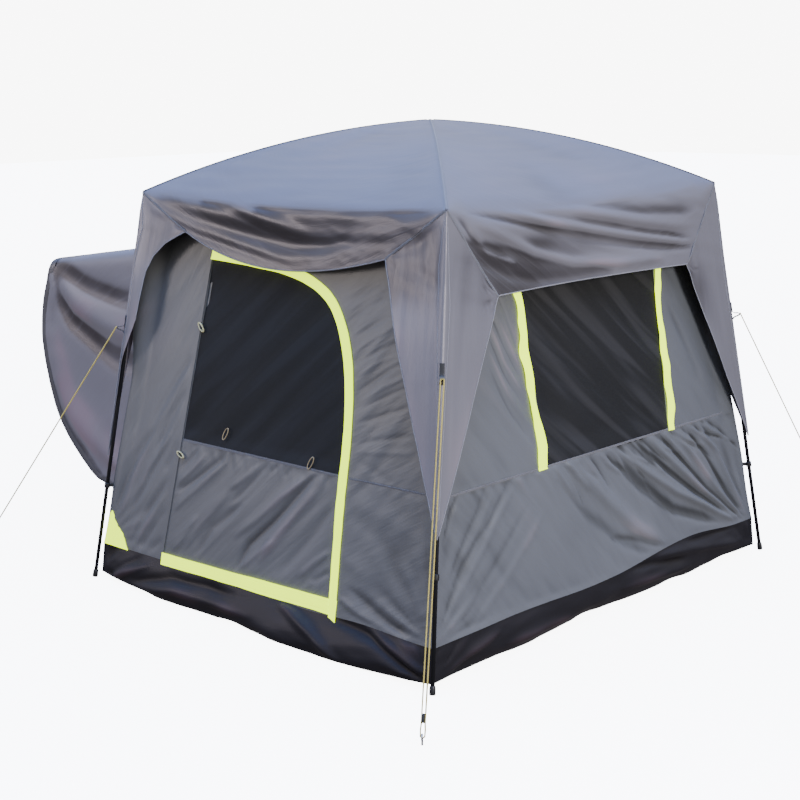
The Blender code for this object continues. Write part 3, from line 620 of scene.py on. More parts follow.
# Door wall
# Grey coated cloth hung from the eaves and sewn to the tub. The doorway is cut out of it, and
# its right-hand part carries the zip, so folds run out from the bright band towards the leg.
WALL_TOP = 1.84
RUNNING_GAP = 0.006
HINGE_LOW = (-0.632, 0.190)
HINGE_TOP = (-0.533, 1.607)
ZIP_KNOTS = [(0.515, 0.205), (0.487, 0.62), (0.474, 0.95), (0.425, 1.22), (0.33, 1.41),
             (0.20, 1.51), (0.0, 1.567), (-0.25, 1.592), (-0.533, 1.607)]
WALL_FOLDS = {
    "door": (
        (((0.288, 1.531), (0.365, 1.569), (0.50, 1.62)), 0.0075, -0.0026),
        (((0.348, 1.450), (0.486, 1.525), (0.62, 1.59)), 0.0080, -0.0034),
        (((0.38, 1.425), (0.49, 1.49), (0.60, 1.545)), 0.0085, 0.0030),
        (((0.405, 1.392), (0.499, 1.453), (0.64, 1.52)), 0.0080, -0.0036),
        (((0.447, 1.327), (0.548, 1.384), (0.68, 1.445)), 0.0090, -0.0038),
        (((0.46, 1.27), (0.56, 1.335), (0.68, 1.40)), 0.0095, 0.0032),
        (((0.474, 1.216), (0.582, 1.278), (0.74, 1.35)), 0.0090, -0.0040),
        (((0.49, 1.17), (0.60, 1.235), (0.72, 1.29)), 0.0095, 0.0030),
        (((0.503, 1.101), (0.621, 1.184), (0.78, 1.28)), 0.0100, -0.0042),
        (((0.51, 1.06), (0.64, 1.14), (0.80, 1.22)), 0.0105, 0.0034),
        (((0.517, 1.031), (0.667, 1.107), (0.82, 1.18)), 0.0085, -0.0032),
        (((0.521, 0.977), (0.602, 1.004), (0.80, 1.08)), 0.0100, -0.0036),
        (((0.536, 0.895), (0.653, 0.923), (0.84, 0.97)), 0.0110, -0.0036),
        (((0.53, 0.86), (0.66, 0.875), (0.84, 0.90)), 0.0110, 0.0028),
        (((0.546, 0.829), (0.614, 0.808), (0.76, 0.76)), 0.0100, -0.0034),
        (((0.54, 0.60), (0.70, 0.55), (0.95, 0.44)), 0.034, -0.004),
        (((0.54, 0.66), (0.72, 0.63), (0.98, 0.56)), 0.034, 0.003),
        (((0.52, 0.42), (0.72, 0.37), (1.00, 0.28)), 0.034, 0.006),
        (((0.538, 0.258), (0.682, 0.210), (0.90, 0.165)), 0.016, 0.012),
        (((0.598, 0.303), (0.748, 0.246), (0.96, 0.175)), 0.018, -0.013),
        (((-1.02, 0.36), (-0.90, 0.62), (-0.80, 0.76)), 0.016, -0.010),
        (((-0.978, 0.322), (-0.874, 0.589), (-0.781, 0.751)), 0.012, 0.009),
        (((-0.930, 0.297), (-0.795, 0.542), (-0.68, 0.74)), 0.012, -0.010),
        (((-0.86, 0.45), (-0.80, 0.58), (-0.67, 0.76)), 0.012, 0.010),
        (((-0.878, 0.212), (-0.768, 0.403), (-0.65, 0.56)), 0.012, -0.011),
        (((-0.86, 0.19), (-0.757, 0.345), (-0.65, 0.49)), 0.012, 0.011),
        (((-0.82, 0.18), (-0.70, 0.34), (-0.64, 0.42)), 0.011, -0.010),
        (((-0.76, 0.175), (-0.64, 0.28)), 0.011, -0.009),
        (((-0.83, 0.775), (-0.68, 1.02), (-0.567, 1.157)), 0.013, -0.009),
        (((-0.80, 0.74), (-0.65, 0.99), (-0.575, 1.09)), 0.012, 0.007),
        (((-0.77, 0.66), (-0.69, 0.83), (-0.585, 1.00)), 0.012, -0.009),
        (((-0.735, 0.64), (-0.66, 0.80), (-0.59, 0.93)), 0.011, 0.007),
        (((-0.69, 0.58), (-0.61, 0.74)), 0.011, -0.008),
        (((-0.70, 1.17), (-0.62, 1.30), (-0.56, 1.37)), 0.012, -0.004),
        (((-0.93, 1.05), (-0.86, 1.38), (-0.80, 1.62)), 0.055, 0.004),
    ),
    "window": (
        (((-0.643, 0.735), (-0.750, 0.637), (-0.795, 0.589), (-0.903, 0.518), (-1.06, 0.38)), 0.013, -0.004),
        (((-0.62, 0.70), (-0.74, 0.60), (-0.88, 0.47), (-1.06, 0.31)), 0.017, 0.004),
        (((-0.802, 0.735), (-0.850, 0.658), (-0.954, 0.553), (-1.10, 0.39)), 0.013, -0.004),
        (((-0.758, 0.70), (-0.879, 0.574), (-0.99, 0.48)), 0.014, 0.003),
        (((-0.966, 0.738), (-1.018, 0.675), (-1.08, 0.58)), 0.013, -0.007),
        (((-0.55, 0.60), (-0.78, 0.42), (-1.05, 0.22)), 0.022, -0.003),
        (((-0.44, 0.56), (-0.70, 0.36), (-0.98, 0.19)), 0.024, 0.003),
        (((0.065, 0.70), (0.280, 0.525), (0.531, 0.358), (0.95, 0.205)), 0.036, -0.014),
        (((0.098, 0.735), (0.334, 0.583), (0.558, 0.443), (0.776, 0.339), (1.05, 0.20)), 0.026, 0.018),
        (((0.269, 0.735), (0.509, 0.556), (0.717, 0.411), (1.05, 0.21)), 0.020, -0.017),
        (((0.37, 0.735), (0.57, 0.575), (0.78, 0.41), (1.08, 0.20)), 0.022, 0.015),
        (((0.469, 0.735), (0.630, 0.591), (0.836, 0.400), (1.12, 0.19)), 0.017, -0.014),
        (((0.58, 0.735), (0.75, 0.57), (0.92, 0.38), (1.12, 0.20)), 0.018, 0.012),
        (((0.687, 0.735), (0.862, 0.548), (1.012, 0.338), (1.15, 0.19)), 0.016, -0.012),
        (((0.79, 0.735), (0.94, 0.56), (1.07, 0.34), (1.16, 0.21)), 0.016, 0.010),
        (((-0.25, 0.735), (-0.032, 0.551), (0.206, 0.352), (0.45, 0.205)), 0.050, 0.016),
        (((-0.33, 0.66), (-0.12, 0.46), (0.10, 0.30), (0.30, 0.20)), 0.040, -0.008),
        (((0.02, 0.33), (0.237, 0.276), (0.43, 0.205)), 0.022, -0.008),
        (((0.64, 1.36), (0.76, 1.12), (0.86, 0.90)), 0.040, -0.004),
        (((-0.62, 1.56), (-0.56, 1.42), (-0.51, 1.26)), 0.010, -0.006),
        (((-0.66, 1.52), (-0.58, 1.34), (-0.505, 1.19)), 0.010, 0.006),
        (((-0.67, 1.47), (-0.59, 1.29), (-0.50, 1.13)), 0.010, -0.007),
        (((-0.68, 1.42), (-0.60, 1.22), (-0.495, 1.07)), 0.010, 0.006),
        (((-0.69, 1.37), (-0.60, 1.16), (-0.49, 1.01)), 0.010, -0.006),
        (((-0.70, 1.30), (-0.60, 1.09), (-0.48, 0.93)), 0.011, 0.005),
        (((-0.70, 1.22), (-0.60, 1.02), (-0.475, 0.86)), 0.011, -0.005),
    ),
    "back": (
        (((-0.10, 0.72), (-0.42, 0.48), (-0.78, 0.30), (-1.05, 0.20)), 0.032, -0.018),
        (((-0.02, 0.66), (-0.34, 0.42), (-0.62, 0.26), (-0.92, 0.19)), 0.030, 0.016),
        (((-0.36, 0.735), (-0.62, 0.53), (-0.84, 0.36), (-1.10, 0.21)), 0.020, 0.014),
        (((-0.48, 0.735), (-0.70, 0.55), (-0.92, 0.36), (-1.12, 0.20)), 0.017, -0.014),
        (((-0.66, 0.735), (-0.84, 0.56), (-1.00, 0.35), (-1.14, 0.20)), 0.016, 0.012),
        (((0.66, 0.735), (0.80, 0.60), (0.98, 0.42), (1.10, 0.30)), 0.016, -0.012),
        (((0.56, 0.70), (0.74, 0.52), (0.94, 0.36), (1.08, 0.25)), 0.020, 0.012),
        (((0.30, 0.62), (0.10, 0.42), (-0.16, 0.24)), 0.030, 0.014),
        (((0.22, 0.50), (0.02, 0.34), (-0.20, 0.20)), 0.026, -0.014),
        (((0.62, 1.40), (0.76, 1.10), (0.92, 0.84)), 0.024, -0.008),
        (((-0.66, 1.36), (-0.78, 1.10), (-0.90, 0.90)), 0.024, 0.008),
    ),
    "car": (
        (((0.90, 0.28), (0.98, 0.60), (0.96, 0.95)), 0.020, 0.008),
        (((-0.92, 0.30), (-1.00, 0.62), (-0.96, 1.00)), 0.020, -0.008),
    ),
}

wall_cloth = coated_cloth("wall_cloth", (0.100, 0.105, 0.116, 1), (0.026, 0.028, 0.030, 1),
                          (0.200, 0.170, 0.185, 1), 0.41, 0.5, 0.06, 0.75, (0.98, 0.96, 0.92))
# Painted shade: the door side gets a darker copy of the wall cloth, for the shade under the fly's overhang.
shaded_front_cloth = coated_cloth("front_wall_cloth_shaded", (0.090, 0.092, 0.095, 1), (0.022, 0.023, 0.025, 1),
                           (0.170, 0.140, 0.150, 1), 0.43, 0.5, 0.05, 0.65, (1.0, 0.95, 0.88))
# Per side: scales of fold width and depth, and how much deeper than the relief the folds' painted shade and highlights
# are.
FOLD_SHADE = {"door": (1.25, 0.50, 1.0), "window": (0.85, 0.85, 1.6), "back": (0.9, 0.9, 1.4), "car": (1.0, 1.0, 1.0)}


def hinge_line(height):
    """Place across the wall of the door's sewn edge at a height."""
    return HINGE_LOW[0] + (HINGE_TOP[0] - HINGE_LOW[0]) * (height - HINGE_LOW[1]) / (HINGE_TOP[1] - HINGE_LOW[1])


def smooth_line(knots, steps):
    """Points along a smooth curve through the given ones."""
    knots = np.array(knots, float)
    knots = np.vstack([2 * knots[0] - knots[1], knots, 2 * knots[-1] - knots[-2]])
    share = np.arange(steps)[:, None] / steps
    spans = [0.5 * (2 * b + (c - a) * share + (2 * a - 5 * b + 4 * c - d) * share ** 2
                    + (3 * b - a - 3 * c + d) * share ** 3)
             for a, b, c, d in zip(knots, knots[1:], knots[2:], knots[3:])]
    return np.vstack(spans + [knots[-2:-1]])


def beside(line, distance):
    """The same curve moved to its right."""
    way = np.gradient(line, axis=0)
    way /= np.linalg.norm(way, axis=1, keepdims=True)
    return line + distance * np.stack([way[:, 1], -way[:, 0]], 1)


def spaced(line, count):
    """A curve's points set evenly along it."""
    run = np.concatenate([[0.0], np.cumsum(np.linalg.norm(np.diff(line, axis=0), axis=1))])
    return np.stack([np.interp(np.linspace(0, run[-1], count), run, line[:, k]) for k in range(line.shape[1])], 1)


zip_line = smooth_line(ZIP_KNOTS, 8)


def wall_relief(side, across, height):
    """How far the folds push a wall's cloth out, still at its corners, its foot and its top."""
    seed = 40 + 10 * list(SIDES).index(side)
    half = side_half(side, height, wall_half)
    mirror = -1 if side == "back" else 1
    lean = 62 if side == "door" else -48 * mirror
    folds = 0.0022 * drawn_folds(across, height, lean, 0.45, 0.08, seed)
    folds = folds + 0.0012 * drawn_folds(across, height, lean - 12, 0.26, 0.034, seed + 1)
    folds = folds + 0.006 * crumple(across * 1.7, height * 1.3, seed + 2)
    for hold in (-half, half):
        folds = folds + rays(across, height, (hold, TUB_TOP + 0.01), 5.5, 0.55, 0.006, seed + 3)
    broad, deep, _ = FOLD_SHADE[side]
    for line, width, depth in WALL_FOLDS[side]:
        folds = folds + crease(across, height, line, width * broad, depth * deep)
    seam = 0.742
    for count in range(0 if side in ("door", "car") else 24):
        place = mirror * (-0.34 + 0.052 * count + 0.012 * math.sin(count * 2.3))
        slant = mirror * (0.045 + 0.003 * count)
        end = 0.57 - 0.05 * math.sin(count * 1.7)
        pucker = ((place, 0.737), (place + slant, 0.67), (place + slant * 2.6, end))
        folds = folds + crease(across, height, pucker, 0.0085, 0.0060 * (-1) ** count)
    gathers = np.exp(-((height - seam) / 0.09) ** 2) * ease(0.0, 0.02, seam - height)
    if side == "door":
        gathers = gathers * 0.35 * (across > 0.4)
    folds = folds + 0.0075 * gathers * crumple(across * 21 + mirror * (height - seam) * 13, height * 3, seed + 4)
    if side != "door":
        folds = folds * (1 - 0.85 * np.exp(-((height - seam) / 0.007) ** 2))
    else:
        rim = np.interp(height, zip_line[:, 1], zip_line[:, 0])
        folds = folds * np.where(height < 1.6, 0.25 + 0.75 * ease(0.0, 0.05, across - rim)
                                 + ease(0.02, 0.03, hinge_line(height) - across), 1.0).clip(0, 1)
        folds = folds * (1 - 0.8 * np.exp(-((across - hinge_line(height)) / 0.03) ** 2))
    return folds * ease(0, 0.05, half - abs(across)) * ease(0, 0.035, height - seam_height(side, across)) \
        * ease(0, 0.05, WALL_TOP - height)


def drawn_to_legs(points):
    """The same points with the walls' upper corners drawn out towards the legs."""
    x, y, z = points[..., 0], points[..., 1], points[..., 2]
    share_x, share_y = abs(x) / wall_half(0, z), abs(y) / wall_half(1, z)
    near = np.minimum(share_x, share_y)
    wide, narrow = ease(0.70, 1.0, near), ease(0.90, 1.0, near)
    room = WALL_OFFSET + WALL_LEAN_IN * (z - TUB_TOP)
    pull = room * (0.38 * ease(0.20, 0.55, z) + 0.42 * ease(0.95, 1.30, z)) * ease(0.0, 0.12, WALL_TOP - z)
    return points + np.stack([pull * np.sign(x) * np.where(share_x < share_y, wide, narrow),
                              pull * np.sign(y) * np.where(share_x < share_y, narrow, wide), 0 * z], -1)


def wall_panel(side, across, height, lean=0, hole=None, gap=0.0):
    relief = wall_relief(side, across, height)
    points = drawn_to_legs(on_side(side, across, height, wall_half, relief + gap))
    return Panel(points, (*SIDES[side][1], 0.0), relief * FOLD_SHADE[side][2], hole).along(lean)


def ruled(first, last, rows):
    """A grid of flat points between two lines with as many points each."""
    share = np.linspace(0, 1, rows)[:, None, None]
    return first[None] * (1 - share) + last[None] * share


def door_wall_panels():
    rim = beside(zip_line, RUNNING_GAP)
    rim[:, 0] = np.maximum(rim[:, 0], HINGE_TOP[0] + 0.001)
    foot = np.array([[rim[0, 0], seam_height("door", rim[0, 0])]])
    top = np.array([[hinge_line(WALL_TOP), WALL_TOP]])
    rim = np.vstack([foot, rim])
    turn = int(np.argmax(rim[:, 0] < 0.36))
    lower, upper = spaced(rim[:turn + 1], 210), spaced(rim[turn:], 84)
    half_low = side_half("door", TUB_TOP, wall_half)
    half_top = side_half("door", WALL_TOP, wall_half)
    right = spaced(np.array([[half_low, seam_height("door", half_low)], [half_top, WALL_TOP]]), 210)
    over = spaced(np.array([[half_top, WALL_TOP], top[0]]), 84)
    inner = np.vstack([lower, upper[1:]])
    outer = np.vstack([right, over[1:]])
    grid = ruled(inner, outer, 27)
    grid[:, 0, 1] = seam_height("door", grid[:, 0, 0])
    yield wall_panel("door", grid[..., 0], grid[..., 1], 30)
    height = np.linspace(0, 1, 118)[:, None]
    share = np.linspace(0, 1, 36)[None, :]
    half = side_half("door", TUB_TOP + height * (WALL_TOP - TUB_TOP), wall_half)
    level = TUB_TOP + height * (WALL_TOP - TUB_TOP)
    across = -half + (hinge_line(level) + half) * share
    foot = seam_height("door", across)
    level = foot + (WALL_TOP - foot) * height
    across = -side_half("door", level, wall_half) * (1 - share) + hinge_line(level) * share
    yield wall_panel("door", across, level, 64)
    share = np.linspace(0, 1, 80)[None, :]
    height = np.linspace(0, 1, 4)[:, None]
    across = hinge_line(0.18) + (rim[0, 0] - hinge_line(0.18)) * share
    foot = seam_height("door", across) - 0.002
    yield wall_panel("door", across, foot + (HINGE_LOW[1] - RUNNING_GAP + 0.008 - foot) * height, 0)


door_wall = sew("door_wall_cloth", list(door_wall_panels()), shaded_front_cloth)
declare(door_wall, area=2.1,
        nodes=["door_wall_left", "door_wall_right", "door_wall_top", "door_sill"])


# Door welt
# The rolled seam that the door turns on, a cord covered in the wall's cloth.
nodes["door_welt"].data.materials.clear()
nodes["door_welt"].data.materials.append(shaded_front_cloth)


# Door
# The lower half is grey cloth like the walls, creased on the bias from its zipped corner, and
# the upper half is black net. Both are sewn into one leaf that swings on the welt.
DOOR_RECESS = 0.0055
SEAT = 0.0038
SCREEN_SEAM = 0.745
DOOR_FOLDS = (
    (((-0.63, 0.62), (-0.60, 0.66), (-0.56, 0.72)), 0.0112, -0.0072),
    (((-0.62, 0.487), (-0.503, 0.557), (-0.333, 0.674), (-0.280, 0.726)), 0.0112, -0.0096),
    (((-0.62, 0.40), (-0.494, 0.509), (-0.385, 0.60), (-0.272, 0.69)), 0.0160, 0.0104),
    (((-0.62, 0.52), (-0.52, 0.60), (-0.454, 0.66), (-0.42, 0.70)), 0.0128, 0.0080),
    (((-0.62, 0.58), (-0.55, 0.64), (-0.48, 0.71)), 0.0096, -0.0080),
    (((-0.409, 0.237), (-0.310, 0.386), (-0.137, 0.518)), 0.0192, -0.0104),
    (((-0.50, 0.24), (-0.38, 0.40), (-0.22, 0.56)), 0.0208, 0.0088),
    (((-0.205, 0.513), (-0.076, 0.635), (0.015, 0.73)), 0.0112, -0.0088),
    (((-0.217, 0.579), (-0.110, 0.657), (-0.043, 0.715)), 0.0120, 0.0072),
    (((-0.15, 0.38), (-0.028, 0.474), (0.113, 0.600), (0.283, 0.721)), 0.0160, 0.0112),
    (((-0.117, 0.242), (-0.054, 0.358), (0.073, 0.472), (0.194, 0.599), (0.287, 0.699), (0.345, 0.74)), 0.0152, -0.0160),
    (((0.03, 0.31), (0.12, 0.43), (0.225, 0.554), (0.36, 0.70)), 0.0240, 0.0136),
    (((0.15, 0.26), (0.26, 0.38), (0.36, 0.50), (0.45, 0.62)), 0.0192, -0.0080),
    (((0.285, 0.286), (0.371, 0.365), (0.462, 0.43)), 0.0112, 0.0088),
    (((0.36, 0.28), (0.467, 0.347)), 0.0096, -0.0080),
    (((-0.094, 0.245), (0.010, 0.335), (0.113, 0.414)), 0.0112, 0.0080),
    (((0.027, 0.687), (0.072, 0.73)), 0.0072, -0.0056),
    (((0.120, 0.686), (0.160, 0.73)), 0.0072, -0.0056),
    (((-0.57, 0.235), (-0.50, 0.31), (-0.42, 0.42)), 0.0160, 0.0072),
)


def door_relief(across, height):
    """Folds of the door's leaf, still along its zip and its hinge."""
    folds = 0.0022 * drawn_folds(across, height, 46, 0.5, 0.07, 90)
    folds = folds + 0.0010 * drawn_folds(across, height, 42, 0.4, 0.024, 91)
    for line, width, depth in DOOR_FOLDS:
        folds = folds + crease(across, height, line, width * 1.25, depth * 0.5)
    right = np.interp(height, zip_line[:, 1], zip_line[:, 0])
    gathers = np.exp(-((height - SCREEN_SEAM + 0.04) / 0.03) ** 2) * (height < SCREEN_SEAM)
    folds = folds + 0.003 * gathers * crumple(across * 27, height * 6, 92)
    folds = folds * (1 - 0.8 * np.exp(-((height - SCREEN_SEAM) / 0.008) ** 2))
    edge = ease(0.0, 0.07, right - across) * ease(0.0, 0.05, across - hinge_line(height))
    return folds * edge * ease(0.0, 0.06, height - 0.2)


def door_panel(low, high, rows, columns, relief_of, lean, recess=DOOR_RECESS):
    share = np.linspace(0, 1, columns)[None, :]
    height = np.linspace(0, 1, rows)[:, None]
    if low is None:
        foot = HINGE_LOW[1] + (ZIP_KNOTS[0][1] - HINGE_LOW[1]) * share
    else:
        foot = low + 0 * share
    level = foot + (high - foot) * height
    left = hinge_line(level) + SEAT
    right = np.interp(level, zip_line[:, 1], zip_line[:, 0])
    across = left + (np.maximum(right, left + 0.001) - left) * share
    relief = relief_of(across, level)
    points = on_side("door", across, level, wall_half, relief - recess)
    return Panel(points, (0, -1, 0), relief).along(lean)


door_cloth = sew("door_leaf_cloth", [door_panel(None, SCREEN_SEAM, 58, 118, door_relief, 44)], shaded_front_cloth)
declare(door_cloth, nodes=["door_panel"], body="door")


def net(name, streaks):
    """Black insect net, opaque: fine square mesh whose near-black holes are painted shade of the dark room behind it,
    with slanting streaks of painted sheen along its folds.
    """
    made, shader, thread = shell_of(name, 0.75)
    links = thread.tree.links
    place = thread.node("TexCoord", output="Object")
    weave = thread.node("UVMap", {"uv_map": "weave"})
    lie = thread.node("UVMap", {"uv_map": "pull"})
    drawn = thread.node("Mapping", None, {"Vector": lie, "Scale": (1.0, 13.0, 1.0)})
    streak = thread.node("TexNoise", None, {"Vector": drawn, "Scale": 1.0, "Detail": 2.0, "Distortion": 0.3})
    cloud = thread.node("TexNoise", None, {"Vector": place, "Scale": 2.0, "Detail": 1.0})
    warp = thread.node("TexWave", {"bands_direction": "X"}, {"Vector": weave, "Scale": 130.0})
    weft = thread.node("TexWave", {"bands_direction": "Y"}, {"Vector": weave, "Scale": 130.0})
    wires = thread.node("Math", {"operation": "MAXIMUM"}, {0: warp, 1: weft})
    # Painted sheen: paler streaks along the slanting folds. The near-black base is the net with painted shade of the
    # room behind it.
    tone = (streak.over(0.44, 0.66) * 0.85 + cloud.over(0.4, 0.8) * 0.15).blend((0.0038, 0.0038, 0.0040, 1), streaks)
    tone = wires.over(0.86, 0.98).blend(tone, (0.016, 0.016, 0.018, 1))
    links.new(tone.socket, shader.inputs["Base Color"])
    links.new((0.62 + streak * 0.2).socket, shader.inputs["Roughness"])
    bump = thread.node("Bump", None, {"Strength": 0.25, "Distance": 0.0004, "Height": wires})
    bump = thread.node("Bump", None, {"Strength": 0.25, "Distance": 0.006, "Height": streak, "Normal": bump})
    links.new(bump.socket, shader.inputs["Normal"])
    shader.inputs["Specular IOR Level"].default_value = 0.3
    return made


black_net = net("black_net", (0.015, 0.0148, 0.016, 1))


def net_relief(across, height):
    """The slack net's long soft folds."""
    edge = ease(0.0, 0.06, across + 0.6) * ease(0.0, 0.06, height - SCREEN_SEAM) * ease(0.0, 0.10, 1.6 - height)
    return edge * 0.007 * (drawn_folds(across, height, 44, 1.1, 0.09, 95) - 0.8)


door_net = sew("door_leaf_net", [door_panel(SCREEN_SEAM, 1.6065, 62, 76, net_relief, 40, DOOR_RECESS)], black_net)
declare(door_net, area=0.85, nodes=["door_screen"],
        body="door")


def ribbon(name, path, side_way, width, paint, out, thickness=0.0012, columns=5, crown=0.0006, crisp=60):
    """A flat strip along a path of points, its width along side_way and its face towards out."""
    path, side_way, out = (np.array(part, float) for part in (path, side_way, out))
    side_way = np.broadcast_to(side_way, path.shape)
    out = np.broadcast_to(out, path.shape)
    share = np.linspace(-0.5, 0.5, columns)
    width = np.broadcast_to(np.asarray(width, float), (len(path),))
    grid = (path[:, None] + side_way[:, None] * (share[None, :] * width[:, None])[..., None]
            + out[:, None] * (crown * (1 - (2 * share) ** 2))[None, :, None])
    panel = Panel(grid, out.mean(0))
    panel.weave = np.stack([np.broadcast_to(share[None, :] * width[:, None], grid.shape[:2]), panel.weave[..., 1]], -1)
    panel.pull = panel.weave.copy()
    return sew(name, [panel], paint, thickness, 0.00005, crisp)


def trim_cloth(name, colour, shade, thread_tone, edge, roughness=0.5, pitch=0.0045, glow=0.0):
    """A sewn tape: ribbed weave, a line of stitches along each edge, faint soiling, painted shade in the grooves of the
    stitches and, with glow, a painted glow of its own colour.
    """
    made, shader, thread = shell_of(name, roughness)
    links = thread.tree.links
    place = thread.node("TexCoord", output="Object")
    weave = thread.node("UVMap", {"uv_map": "weave"})
    across = thread.node("SeparateXYZ", None, {0: weave}, output="X")
    along = thread.node("SeparateXYZ", None, {0: weave}, output="Y")
    from_middle = thread.node("Math", {"operation": "ABSOLUTE"}, {0: across})
    off_line = thread.node("Math", {"operation": "ABSOLUTE"}, {0: from_middle - edge})
    beat = thread.node("Math", {"operation": "FRACT"}, {0: along * (1 / pitch)})
    stitch = (off_line < 0.0007) * (beat < 0.62)
    groove = 1 - off_line.over(0.0, 0.0025)
    smear = thread.node("TexNoise", None, {"Vector": place, "Scale": 7.0, "Detail": 3.0})
    rib = thread.node("TexWave", {"bands_direction": "Y"}, {"Vector": weave, "Scale": 90.0})
    # Darker in random smears, which is soiling, and along the stitch grooves, which is painted shade.
    tone = (smear.over(0.4, 0.75) * 0.6 + groove * 0.35).blend(colour, shade)
    tone = stitch.blend(tone, thread_tone)
    links.new(tone.socket, shader.inputs["Base Color"])
    links.new((roughness + smear * 0.15).socket, shader.inputs["Roughness"])
    bump = thread.node("Bump", None, {"Strength": 0.2, "Distance": 0.0004, "Height": rib})
    bump = thread.node("Bump", None, {"Strength": 0.8, "Distance": 0.0012, "Height": stitch - groove, "Normal": bump})
    links.new(bump.socket, shader.inputs["Normal"])
    shader.inputs["Sheen Weight"].default_value = 0.0 if glow else 0.2
    shader.inputs["Specular IOR Level"].default_value = 0.1 if glow else 0.5
    # Painted glow: the tape emits its own colour though it is no lamp, to look brighter.
    if glow:
        shader.inputs["Emission Color"].default_value = colour
        shader.inputs["Emission Strength"].default_value = glow
    return made


bright_tape = trim_cloth("bright_tape", (0.74, 1.0, 0.0, 1), (0.60, 0.85, 0.0, 1), (0.85, 1.0, 0.10, 1), 0.018, glow=2.2)
grey_seam = trim_cloth("grey_seam", (0.13, 0.128, 0.145, 1), (0.085, 0.084, 0.095, 1), (0.24, 0.235, 0.25, 1), 0.003)
cream_plastic = enamel("cream_plastic", (0.62, 0.58, 0.30, 1), (0.75, 0.72, 0.5, 1), 0.4, 0.0, 300.0)
tan_cord = trim_cloth("tan_cord", (0.42, 0.32, 0.17, 1), (0.30, 0.22, 0.11, 1), (0.5, 0.4, 0.24, 1), 0.001)

seam_x = np.linspace(hinge_line(SCREEN_SEAM) + 0.006, float(np.interp(SCREEN_SEAM, zip_line[:, 1], zip_line[:, 0])) - 0.004, 90)
seam_path = on_side("door", seam_x, SCREEN_SEAM + 0 * seam_x, wall_half,
                    np.maximum(door_relief(seam_x, SCREEN_SEAM + 0 * seam_x), 0) - DOOR_RECESS + 0.0012)
door_seam = ribbon("door_net_seam", seam_path, (0, 0, 1), 0.013, grey_seam, (0, -1, 0))
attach(door_seam, "door")


def bent_tube(name, points, radius, paint, body, sides=8, closed=False):
    """A round cord along points, made as a curve with thickness and turned into a mesh."""
    curve = bpy.data.curves.new(name, "CURVE")
    curve.dimensions = "3D"
    curve.bevel_depth = radius
    curve.bevel_resolution = max(1, sides // 4)
    curve.use_fill_caps = True
    line = curve.splines.new("POLY")
    line.points.add(len(points) - 1)
    line.points.foreach_set("co", np.hstack([np.array(points), np.ones((len(points), 1))]).ravel())
    line.use_cyclic_u = closed
    drawn = bpy.data.objects.new(name, curve)
    bpy.context.collection.objects.link(drawn)
    bpy.ops.object.select_all(action="DESELECT")
    drawn.select_set(True)
    bpy.context.view_layer.objects.active = drawn
    bpy.ops.object.convert(target="MESH")
    made = bpy.context.object
    made.data.materials.clear()
    made.data.materials.append(paint)
    layer = made.data.uv_layers.new(name="weave")
    run = np.concatenate([[0.0], np.cumsum(np.linalg.norm(np.diff(np.array(points), axis=0), axis=1))])
    spots = np.array([made.data.vertices[loop.vertex_index].co for loop in made.data.loops])
    near = np.linalg.norm(spots[:, None] - np.array(points)[None], axis=2).argmin(1) if len(points) < 400 else 0
    layer.data.foreach_set("uv", np.stack([np.zeros(len(spots)), run[near]], 1).astype(np.float32).ravel())
    bpy.ops.object.shade_smooth_by_angle(angle=math.radians(50))
    if body:
        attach(made, body)
    return made


zip_teeth = bent_tube("door_zip_teeth", on_side("door", zip_line[::2, 0] - 0.004, zip_line[::2, 1], wall_half,
                                                 -DOOR_RECESS + 0.0018), 0.0022, black_plastic, "door")
for count, (across, height) in enumerate(((0.257, 0.743), (-0.312, 0.785)), 1):
    turn = np.linspace(0, 2 * math.pi, 25)[:-1]
    ring = np.stack([across + 0.018 + 0.030 * np.cos(turn) * math.sin(0.45) + 0.011 * np.sin(turn) * math.cos(0.45),
                     height + 0.030 + 0.030 * np.cos(turn) * math.cos(0.45) - 0.011 * np.sin(turn) * math.sin(0.45)], 1)
    bent_tube(f"door_tie_loop_{count}", on_side("door", ring[:, 0], ring[:, 1], wall_half, 0.0002 + 0 * ring[:, 0]),
              0.0022, tan_cord, "door", closed=True)


# Hinge facing and wall seam
# A strip of the wall's cloth backs the welt from behind, and a flat seam crosses the wall right
# of the doorway, level with the door's net.
height = np.linspace(HINGE_LOW[1] - 0.004, HINGE_TOP[1] + 0.02, 90)
facing_path = on_side("door", hinge_line(height), height, wall_half, -0.0125 + 0 * height)
facing = ribbon("door_hinge_facing", facing_path, (1, 0, 0), 0.034, shaded_front_cloth, (0, -1, 0))
across = np.linspace(0.515, side_half("door", 0.745, wall_half) - 0.008, 60)
height = 0.748 + 0.010 * (across - 0.5)
wall_seam = ribbon("wall_seam", on_side("door", across, height, wall_half, wall_relief("door", across, height) + 0.0014),
                   (0, 0, 1), 0.010, grey_seam, (0, -1, 0), crown=0.0008)
facing = join([facing, wall_seam], "door_hinge_facing")
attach(facing, "root")


# Zip flap and toggles
# A bright tape covers the zip along the door's top, free side and foot. It is sewn on by its
# outer edge, so its inner edge ripples. Two oval toggles by the hinge hold the rolled door.
FLAP_HALF = 0.0225


